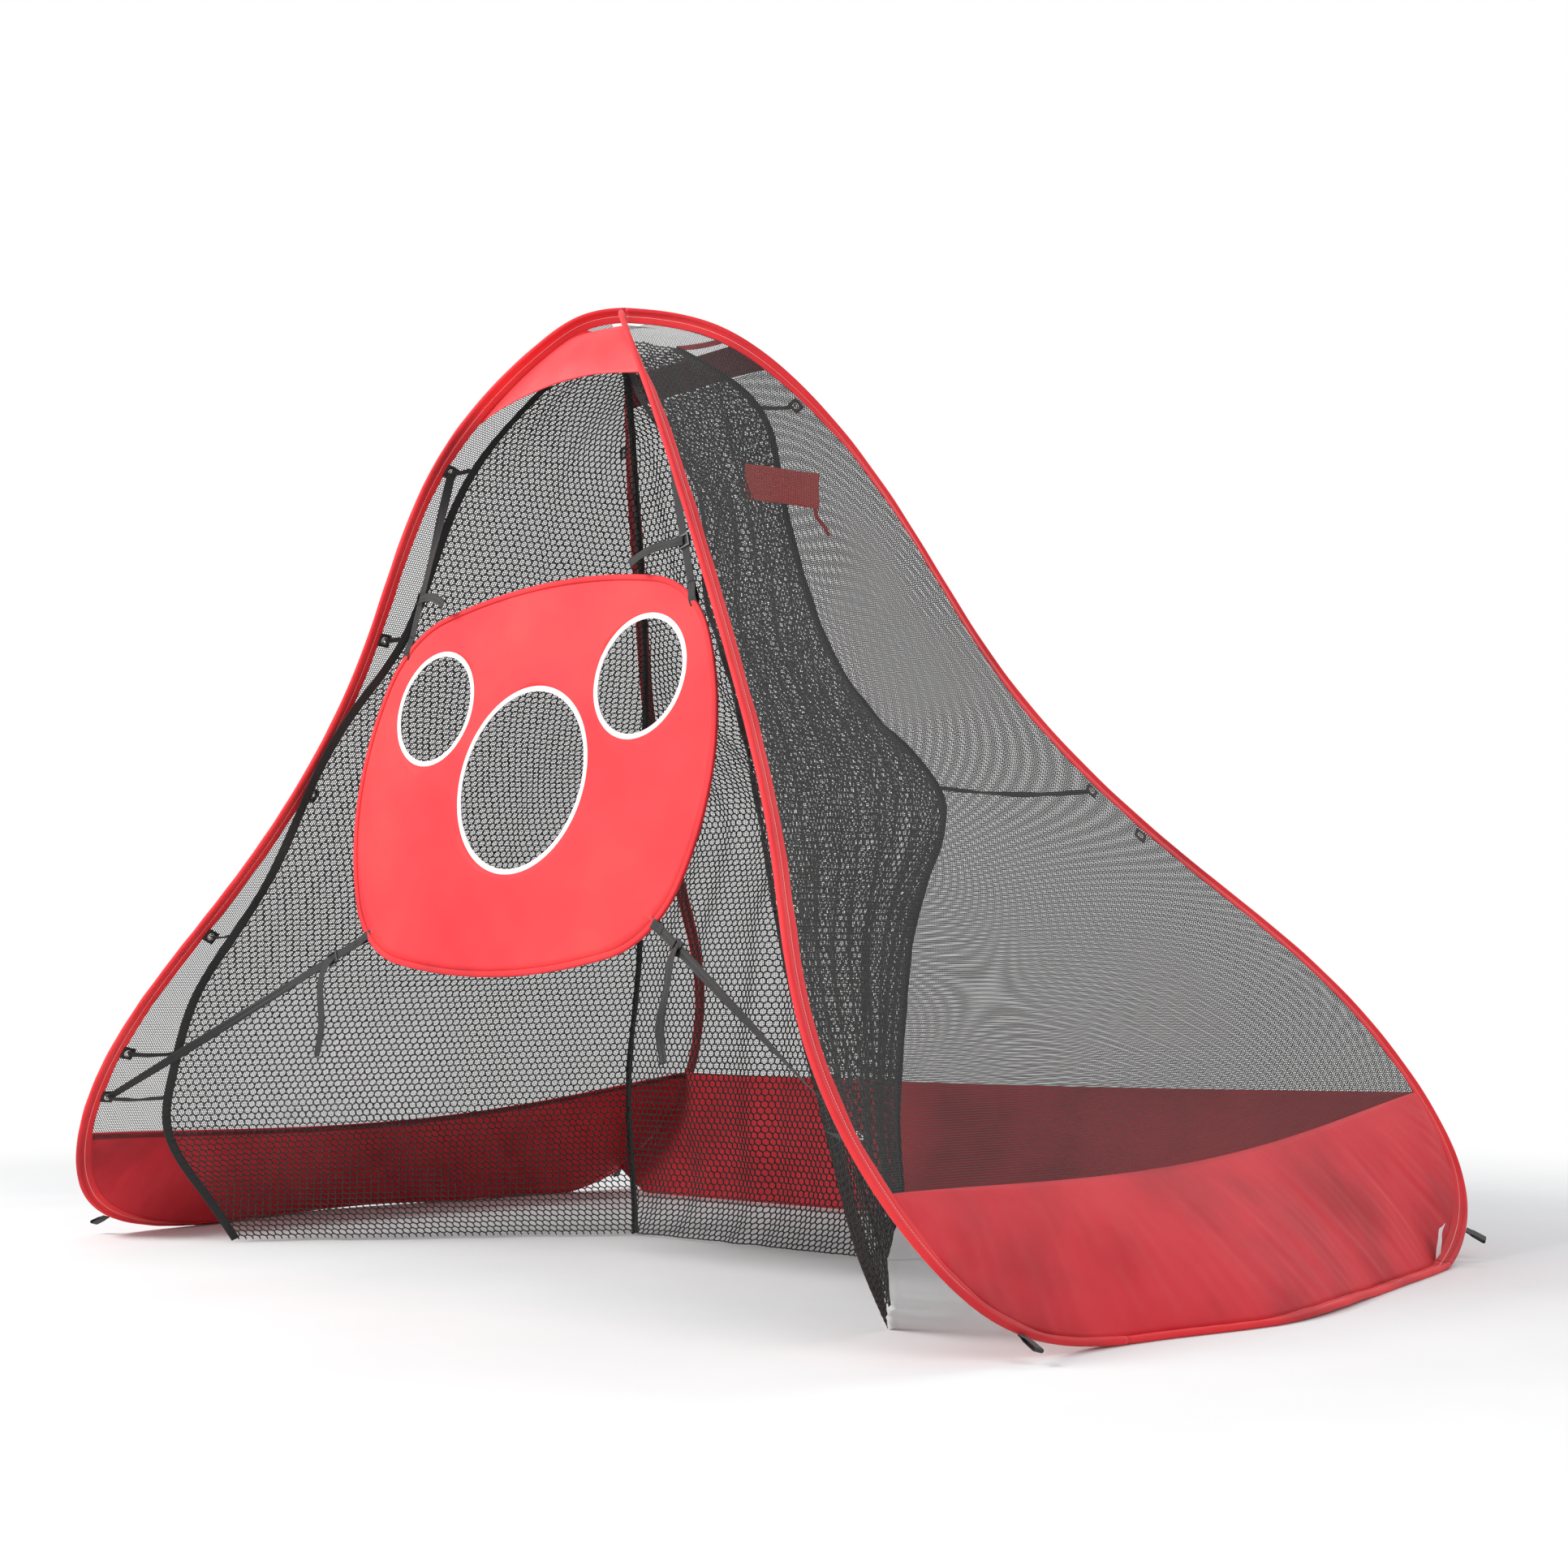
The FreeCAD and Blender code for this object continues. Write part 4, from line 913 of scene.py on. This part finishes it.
def grommet_block(centre, hem, along, side, corners=40):
    """Rolled eyelet: an oval section turned round the hole, flatter where the two halves of
    the ring are pressed onto the cloth."""
    outer, hole, height = GROMMET
    turn = full_turn(corners)
    radial = hem * np.cos(turn)[:, None] + along * np.sin(turn)[:, None]
    middle = (outer + hole) / 2
    profile = band_profile(outer - hole, height, edge=0.8, corners=14)
    rings = carried(centre + radial * middle, radial, np.broadcast_to(side, radial.shape), profile)
    return sweep_block(rings, np.arange(corners + 1) * 0.001, ring_lengths(profile), closed=True)


def tab_block(centre, hem, along, side, corners=64):
    """Square of webbing with a round hole: a flat bar turned round the hole, whose outer edge
    follows the square."""
    turn = full_turn(corners)
    c, s = np.cos(turn), np.sin(turn)
    radial = hem * c[:, None] + along * s[:, None]
    square = TAB_SIDE / 2 / (np.abs(c) ** 12 + np.abs(s) ** 12) ** (1 / 12)
    inner = np.full(corners, GROMMET[1] + 0.0012)
    half = TAB_THICK / 2
    corner_rows = ((inner, -half), (square, -half), (square + 0.0003, 0), (square, half),
                   (inner, half))
    profile = np.stack([np.stack([reach, 0 * c + rise], -1) for reach, rise in corner_rows], 1)
    rings = carried(np.broadcast_to(centre, radial.shape), radial,
                    np.broadcast_to(side, radial.shape), profile)
    return sweep_block(rings, np.arange(corners + 1) * 0.0012, np.arange(6) * 0.006, closed=True)


def along_line(line, z):
    rising = line[np.argsort(line[:, 2])]
    return between(z, rising[:, 2], rising)


def tie_block(centre, side, rise, line, partner, seed):
    """Thin webbing from a grommet, over its rim, to the net's tape; it hangs a little slack."""
    start = centre - side * rise
    goal = along_line(line, centre[2])
    away = unit(goal - along_line(partner, centre[2]))
    end = goal + away * (TAPE[0] / 2 - 0.002)
    length = np.linalg.norm(end - start)
    line = straight(start, end, 20, 0.03 * length)
    return band_block(line, -side, *TIE, flutter=0.5, seed=seed)


def grommets_on(legs, heights, end, lines):
    """Tabs, rings and ties at the given heights on a right and a left leg."""
    tabs, rings, ties = [], [], []
    for leg, (line, partner) in zip(legs, lines):
        for k, z in enumerate(heights):
            centre, hem, along, side = tab_place(leg, z, end)
            shared = end == "front" and z in (heights[0], heights[-1])
            rise = SHARED_TIE_RISE if shared else TIE_RISE
            tabs.append(tab_block(centre, hem, along, side))
            rings.append(grommet_block(centre, hem, along, side))
            if end == "front" or z != heights[-1]:      # the lowest back grommet is spare
                ties.append(tie_block(centre, side, rise, line, partner, 200 + k))
    return tabs, rings, ties


for end, legs, heights, lines in (
        ("front", (front_right, front_left), FRONT_GROMMETS,
         ((border, seam), (left_border, left_seam))),
        ("back", (back_right, back_left), BACK_GROMMETS, ((seam, left_seam), (left_seam, seam)))):
    tabs, rings, ties = grommets_on(legs, heights, end, lines)
    build(f"webbing_tabs_{end}", tabs, black_webbing, "frame", [f"grommet_tabs_{end}"])
    build(f"rings_{end}", rings, nickel, "frame", [f"grommets_{end}"])
    build(f"webbing_ties_{end}", ties, black_webbing, "frame", [f"net_ties_{end}"])

top_ties = []
for leg, line, seed in ((back_right, seam, 1), (back_left, left_seam, 2)):
    station = leg.at_height(TOP_TIE_HEIGHT)
    start = station.at(HEM_REACH / 2, -0.0021)[0]
    end = line[0] + unit(start - line[0]) * 0.004
    top_ties.append(band_block(straight(start, end, 24, 0.004), -station.side[0], *TIE,
                               flutter=0.8, seed=seed))
build("ribbon_top_ties", top_ties, ribbon_cloth, "frame", ["net_top_ties"])


# ================================================================== the target
def on_target(flat, out=0.0):
    """Places in the target's plane, from its middle: to the right, up it, and out of it."""
    flat = np.asarray(flat, float)
    x = np.array([1.0, 0, 0])
    return TARGET_CENTRE + flat[..., :1] * x + flat[..., 1:2] * TARGET_UP + TARGET_OUT * out


def target_outline(inset, count):
    """Rounded rectangle with bowed sides.  Each side is an arc that runs smoothly into two
    corner arcs; its radius follows from the half side, the bow and the corner's radius."""
    corner = TARGET_CORNER - inset
    half_width, half_height = TARGET_SIZE[0] / 2 - inset, TARGET_SIZE[1] / 2 - inset
    cx, cy = half_width - SIDE_BOW - corner, half_height - TOP_BOW - corner

    def bowed(across, rise):
        return (across**2 + rise**2 - corner**2) / (2 * (rise - corner))

    side, top = bowed(cy, half_width - cx), bowed(cx, half_height - cy)
    turn_side = math.asin(cy / (side - corner))
    turn_top = math.pi / 2 - math.asin(cx / (top - corner))
    arcs = []
    for centre, radius, low, high in (((half_width - side, 0), side, 0, turn_side),
                                      ((cx, cy), corner, turn_side, turn_top),
                                      ((0, half_height - top), top, turn_top, math.pi / 2)):
        turn = np.linspace(low, high, 90)[:-1]
        arcs.append(centre + radius * on_circle(turn))
    quarter = np.concatenate(arcs + [[(0, half_height)]])
    upper = np.concatenate([quarter, quarter[-2::-1] * (-1, 1)])
    return evenly(np.concatenate([upper, upper[-2::-1] * (1, -1)]), count + 1)[:-1]


def ring_block(flat, width, thickness, edge, seed, pucker):
    """A flat oval section carried round a closed line in the target's plane, puckered by the
    stitches that hold it."""
    line = on_target(flat)
    ahead = unit(np.roll(line, -1, 0) - np.roll(line, 1, 0))
    out = np.broadcast_to(TARGET_OUT, line.shape)
    reach = reach_along(np.concatenate([line, line[:1]]))
    turn = steps(len(line) + 1)[:-1] * 2 * math.pi
    swell = 1 + pucker * ripple(26 * np.cos(turn), 26 * np.sin(turn), seed)
    profile = band_profile(width, thickness, edge, 20)
    profile = profile * np.stack([swell * 0 + 1, swell], -1)[:, None]
    rings = carried(line, np.cross(out, ahead), out, profile)
    return sweep_block(rings, reach, ring_lengths(profile[0]), closed=True)


CALM_EDGE = 0.045                       # the panel's waves grow over this distance from the rim
CUT_WAY = np.array([0.865, 0.502])      # the panel is meshed in three cells, one to a hole,
CUT_AWAY = 0.2228                       # parted by two lines this far from the middle hole
middle_of_holes = np.array(HOLES[0][:2])


def cell_grid(hole, rows=15):
    """Part of the panel round one hole, from its outer bounds in to the hole.  Both are taken
    at the same angles round the hole's middle; soft waves fade out at both."""
    centre, radius = np.array(hole[:2]), hole[2] + BINDING_WIDTH - 0.003
    flip = -1 if centre[0] < 0 else 1
    outline = target_outline(RIM_WIDTH - 0.003, 420)
    cuts = [CUT_WAY * (s, 1) for s in (1, -1)]
    beyond = [(outline - middle_of_holes) @ way - CUT_AWAY for way in cuts]
    reach = np.linspace(-0.9, 0.9, 700)[:, None]
    line = middle_of_holes + CUT_WAY * CUT_AWAY + reach * (CUT_WAY[::-1] * (-1, 1))
    bound = rim_at(turn_of(line), outline)
    line = line[np.linalg.norm(line, axis=1) < np.linalg.norm(bound, axis=1)]
    if centre[0] == 0:
        keep = outline[(beyond[0] < 0) & (beyond[1] < 0)]
        bounds = np.concatenate([keep, line, line * (-1, 1)])
    else:
        bounds = np.concatenate([outline[beyond[0] >= 0], line]) * (flip, 1)
    bounds = bounds[np.argsort(turn_of(bounds - centre))]
    circle = centre + radius * on_circle(turn_of(bounds - centre))
    share = steps(rows)[:, None, None]
    flat = mix(bounds, circle, share)
    calm = np.clip((1 - share[..., 0]) * 2.2, 0, 1) * rim_distance(flat)
    wave = 0.0022 * ripple(flat[..., 0] * 14, flat[..., 1] * 14, 131)
    wave = wave + 0.0010 * ripple(flat[..., 0] * 40, flat[..., 1] * 40, 132)
    grid = on_target(flat) + TARGET_OUT * (wave * calm)[..., None]
    return grid, flat


def rim_at(turn, outline):
    """An outline's point in each direction from the middle."""
    angle = turn_of(outline)
    order = np.argsort(angle)
    order = np.concatenate([order[-1:], order, order[:1]])
    angle = angle[order]
    angle[0] -= 2 * math.pi
    angle[-1] += 2 * math.pi
    return between(turn, angle, outline[order])


def rim_distance(flat):
    """0 at the panel's rim, rising to 1 a little way in."""
    rim = rim_at(turn_of(flat), target_outline(RIM_WIDTH, 420))
    gap = np.linalg.norm(rim, axis=-1) - np.linalg.norm(flat, axis=-1)
    return np.clip(gap / CALM_EDGE, 0, 1)


def cell_block(hole):
    grid, flat = cell_grid(hole)
    n, m = grid.shape[:2]
    closed = np.concatenate([flat, flat[:, :1]], 1)
    faces, uv = grid_faces(n, m, closed, (False, True))
    points = grid.reshape(-1, 3)
    a, b, c = points[faces[:, 0]], points[faces[:, 1]], points[faces[:, 2]]
    if (np.cross(b - a, c - a) @ TARGET_OUT).sum() < 0:
        faces, uv = faces[:, ::-1], uv[:, ::-1]
    return points, [(faces, uv)]


panel = build("cloth_panel_of_target", [cell_block(hole) for hole in HOLES], target_cloth_painted_light, "target",
              ["target_panel"])
weld = panel.modifiers.new("cells joined", "WELD")
weld.merge_threshold = 0.0002
body = panel.modifiers.new("cloth", "SOLIDIFY")
body.thickness, body.offset = 0.0014, 0.0
rim = build("cloth_rim_of_target", [ring_block(target_outline(RIM_WIDTH / 2, 520), RIM_WIDTH, 0.009,
                                               0.75, 141, 0.07)],
            rim_cloth, "target", ["target_rim_sleeve"])
round_hole = on_circle(steps(161)[:-1] * 2 * math.pi)
bindings = [ring_block((x, y) + (radius + BINDING_WIDTH / 2) * round_hole, BINDING_WIDTH, 0.003,
                       0.4, 150 + k, 0.12)
            for k, (x, y, radius) in enumerate(HOLES)]
build("binding_of_target_holes", bindings, white_binding, "target", ["target_hole_bindings"])


# ================================================================== straps and sliders
def dress(node_name, material, bevel=0.0):
    """A CAD solid shown as it is, in its own material, with its edges eased."""
    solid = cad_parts[node_name]
    solid.data.materials.clear()
    solid.data.materials.append(material)
    if bevel:
        eased = solid.modifiers.new("eased edges", "BEVEL")
        eased.width, eased.segments, eased.limit_method = bevel, 2, "ANGLE"


dress("target_rim_wire", steel)
target_tabs = []
for side, side_name, leg in ((1, "right", front_right), (-1, "left", front_left)):
    for end, z, place, up in (("upper", FRONT_GROMMETS[0], UPPER_SLIDER, 1),
                              ("lower", FRONT_GROMMETS[-1], LOWER_SLIDER, -1)):
        centre, _, _, tab_side = tab_place(leg, z, "front")
        start = centre - tab_side * STRAP_RISE
        face = tab_side * np.sign(tab_side @ TARGET_OUT)
        corner = on_target(np.array([side * STRAP_CORNER[0], up * STRAP_CORNER[1]]))
        along = unit(start - corner)
        tab_end = corner + along * TAB_LENGTH
        for turned in (1, -1):
            wrap = smooth_line([tab_end + TARGET_OUT * 0.0006 * turned,
                                corner + along * 0.010 + TARGET_OUT * 0.0030 * turned,
                                corner - along * 0.006 + TARGET_OUT * 0.0056 * turned,
                                corner - along * 0.020 + TARGET_OUT * 0.0020 * turned], 30)
            target_tabs.append(band_block(wrap, TARGET_OUT, *STRAP))
        name = f"{end}_{side_name}"
        foot = tab_end + along * 0.0003
        line = straight(foot, start, 70, 0.0015)
        share = np.clip((reach_along(line) - 2 * place) / (reach_along(line)[-1] - 2 * place), 0, 1)
        faces = mix(TARGET_OUT, face, share[:, None])
        body = "target" if up > 0 else None
        strap = build(f"strap_webbing_{name}", [band_block(line, faces, *STRAP)], black_webbing,
                      body, [f"target_strap_{name}"])
        if up < 0:
            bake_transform(strap)
        dress(f"strap_slider_{name}", acetal, 0.0006)
        out = unit(TARGET_OUT - along * (TARGET_OUT @ along))
        root = foot + along * place + out * (SLIDER_HALF + STRAP[1] / 2 + TAIL_LIFT[end])
        route = np.array(UPPER_TAIL if up > 0 else LOWER_TAIL) * (side, 1, 1) + root
        tail = smooth_line(route, 60)
        front = np.array([0, -1.0, 0])
        turned = steps(60)[:, None]
        facing = out if up > 0 else mix(out, front, np.clip(turned * 2.2, 0, 1))
        build(f"strap_tail_webbing_{name}", [band_block(tail, facing, *STRAP, flutter=0.35,
                                                        seed=170 + 3 * up + side)],
              black_webbing, f"{end}_{side_name}_slider", [f"strap_tail_{name}"])
build("webbing_tabs_of_target", target_tabs, black_webbing, "target", ["target_tabs"])


# ================================================================== loops and labels
def nearest_low(whole, y):
    """The place low on a hoop that is nearest to a distance from the middle."""
    low = np.flatnonzero(whole.point[:, 2] < STRIP_FRONT)
    k = low[np.argmin(np.abs(whole.point[low, 1] - y))]
    return [a[k] for a in whole.parts]


def loop_block(node_name, hem, side):
    """Webbing folded back on itself: flat and stitched at its root, open round at its end."""
    low, high = (np.array(corner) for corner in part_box(node_name))
    middle = (low + high) / 2
    turn = np.linspace(math.pi / 2, -math.pi / 2, 15)
    bend = np.stack([LOOP_HALF - LOOP_ROUND + LOOP_ROUND * np.cos(turn),
                     LOOP_ROUND * np.sin(turn)], -1)
    upper = np.array([(0, 0.0008), (0.008, 0.0009), (0.016, 0.0028)]) - (LOOP_HALF, 0)
    side_view = np.concatenate([upper, bend, upper[::-1] * (1, -1)])
    line = evenly(np.concatenate([side_view, side_view[:, :1] * 0], 1), 70)
    along = unit(np.gradient(line, axis=0))
    face = line[:, :2] * 0
    face[:, 0], face[:, 1] = along[:, 1], -along[:, 0]
    carry = np.stack([-hem, side])
    return band_block(middle + line[:, :2] @ carry, face @ carry, 0.0198, 0.0013)


for name, side, whole, *_ in SIDES:
    for end, y in LOOP_Y.items():
        _, _, hem, side_way = nearest_low(whole, y)
        node_name = f"stake_loop_{end}_{name}"
        build(f"webbing_{node_name}", [loop_block(node_name, hem, side_way)], black_webbing,
              node_name, [node_name])


def cloth_label(name, corner, across, down, bulge, material, body, node_name, seed,
                waves):
    """A label: a grid that starts at a corner, with soft waves that grow away from its fixed
    edge, given a thickness."""
    a, b = np.meshgrid(steps(40), steps(50), indexing="ij")
    grid = corner + across * a[..., None] + down * b[..., None]
    wave = waves * ripple(a * 5, b * 7, seed) * np.sqrt(np.abs(b)) + bulge[1] * np.sin(math.pi * b)
    grid = grid + np.asarray(bulge[0]) * wave[..., None]
    made = build(name, [sheet_block(grid, 0.0006, surface_uv(grid))], material, body, [node_name])


low, high = (np.array(corner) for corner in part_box("care_label"))
_, label_along, label_hem, label_side = nearest_low(right_hoop, (low + high)[1] / 2)
label_root = (low + high) / 2 - label_side * CARE_LABEL[1] / 2
cloth_label("satin_care_label", label_root - label_along * CARE_LABEL[0] / 2,
            label_along * CARE_LABEL[0], label_side * CARE_LABEL[1], (label_hem, 0.0015),
            label_cloth, "care_label", "care_label", 181, 0.0012)
flag_along = unit(FLAG_WAY)
flag_out = np.cross(flag_along, (0, 0, 1))
cloth_label("satin_fold_label", FLAG_PLACE + np.array([0, 0, FLAG[1] / 2]),
            np.array([0, 0, -FLAG[1]]), flag_along * FLAG[0], (flag_out, 0.002), flag_cloth_painted_light,
            "fold_label", "fold_label", 191, 0.004)
ribbon_root = FLAG_PLACE + flag_along * (FLAG[0] - 0.009) - np.array([0, 0, FLAG[1] / 2 + 0.0003])
ribbon = smooth_line(np.array(RIBBON_DROP) + ribbon_root, 50)
build("satin_ribbon_of_label", [band_block(ribbon, flag_out, *RIBBON, flutter=0.9, seed=195)],
      ribbon_cloth, "fold_label", ["fold_label_ribbon"])


# ================================================================== stage, light and camera
FADE_START, FADE_END = 1.9, 4.6         # distances from the middle of the floor
floor_paint = hard("studio_floor_painted_pale", ("#E4E4E3", "#ECECEB"), 1.2, 0.02, Roughness=0.85)
# Far from the object the floor turns to the backdrop's white for the camera, so that no
# horizon shows; near it the paint keeps the shadow.
paint_tree = floor_paint.node_tree
painted = paint_tree.nodes["Principled BSDF"]
away = vectors(paint_tree, "LENGTH", node(paint_tree, "TexCoord").outputs["Object"])
fade = node(paint_tree, "MapRange",
            {0: away.outputs["Value"], 1: FADE_START, 2: FADE_END, 3: 0.0, 4: 1.0},
            interpolation_type="SMOOTHSTEP")
camera_fade = maths(paint_tree, "MULTIPLY", fade, node(paint_tree, "LightPath"))
glow = node(paint_tree, "Emission", {0: linear("#FFFFFF"), 1: 1.0})
faded = node(paint_tree, "MixShader", {0: camera_fade, 1: painted, 2: glow})
paint_tree.links.new(faded.outputs[0], paint_tree.nodes["Material Output"].inputs[0])
bpy.ops.mesh.primitive_plane_add(size=60, location=(0, 0, -0.0006))
floor = bpy.context.object
floor.name = "studio_floor"
floor.data.materials.append(floor_paint)

world = bpy.data.worlds.new("studio")
bpy.context.scene.world = world
world.use_nodes = True
sky = world.node_tree
background = sky.nodes["Background"]
light_path = node(sky, "LightPath")
mirror_like = maths(sky, "MAXIMUM", light_path.outputs["Is Glossy Ray"],
                    light_path.outputs["Is Transmission Ray"])
seen = maths(sky, "MAXIMUM", light_path.outputs["Is Camera Ray"], mirror_like)
backdrop = node(sky, "Mix", {0: seen, 6: linear("#A9ABB0"), 7: linear("#FFFFFF")}, data_type="RGBA")
sky.links.new(backdrop.outputs[2], background.inputs["Color"])
background.inputs["Strength"].default_value = 1.0


def soft_lamp(name, place, aim, size, watts):
    """A square softbox that looks at a point."""
    lamp = bpy.data.lights.new(name, "AREA")
    lamp.shape, lamp.size, lamp.energy = "SQUARE", size, watts
    holder = bpy.data.objects.new(name, lamp)
    way = np.array(aim, float) - place
    holder.location = place
    holder.rotation_mode = "QUATERNION"
    holder.rotation_quaternion = Vector(way).to_track_quat("-Z", "Y")
    bpy.context.scene.collection.objects.link(holder)


soft_lamp("key_softbox", (-2.2, -4.8, 4.4), (0, -0.2, 0.9), 2.2, 400)
soft_lamp("fill_softbox", (5.2, -2.0, 3.2), (0, 0, 1.0), 3.5, 110)
soft_lamp("back_softbox", (1.5, 4.5, 4.2), (0, 0.2, 1.0), 3.0, 90)

lens = bpy.data.cameras.new("camera")
lens.lens, lens.sensor_width = 45.32, 36.0
camera = bpy.data.objects.new("camera", lens)
forward = unit((-0.6598, 0.7424, 0.1163))
camera.location = (3.132, -3.404, 0.529)
camera.rotation_mode = "QUATERNION"
camera.rotation_quaternion = Vector(forward).to_track_quat("-Z", "Y")
bpy.context.scene.collection.objects.link(camera)
bpy.context.scene.camera = camera
bpy.context.scene.view_settings.view_transform = "Standard"
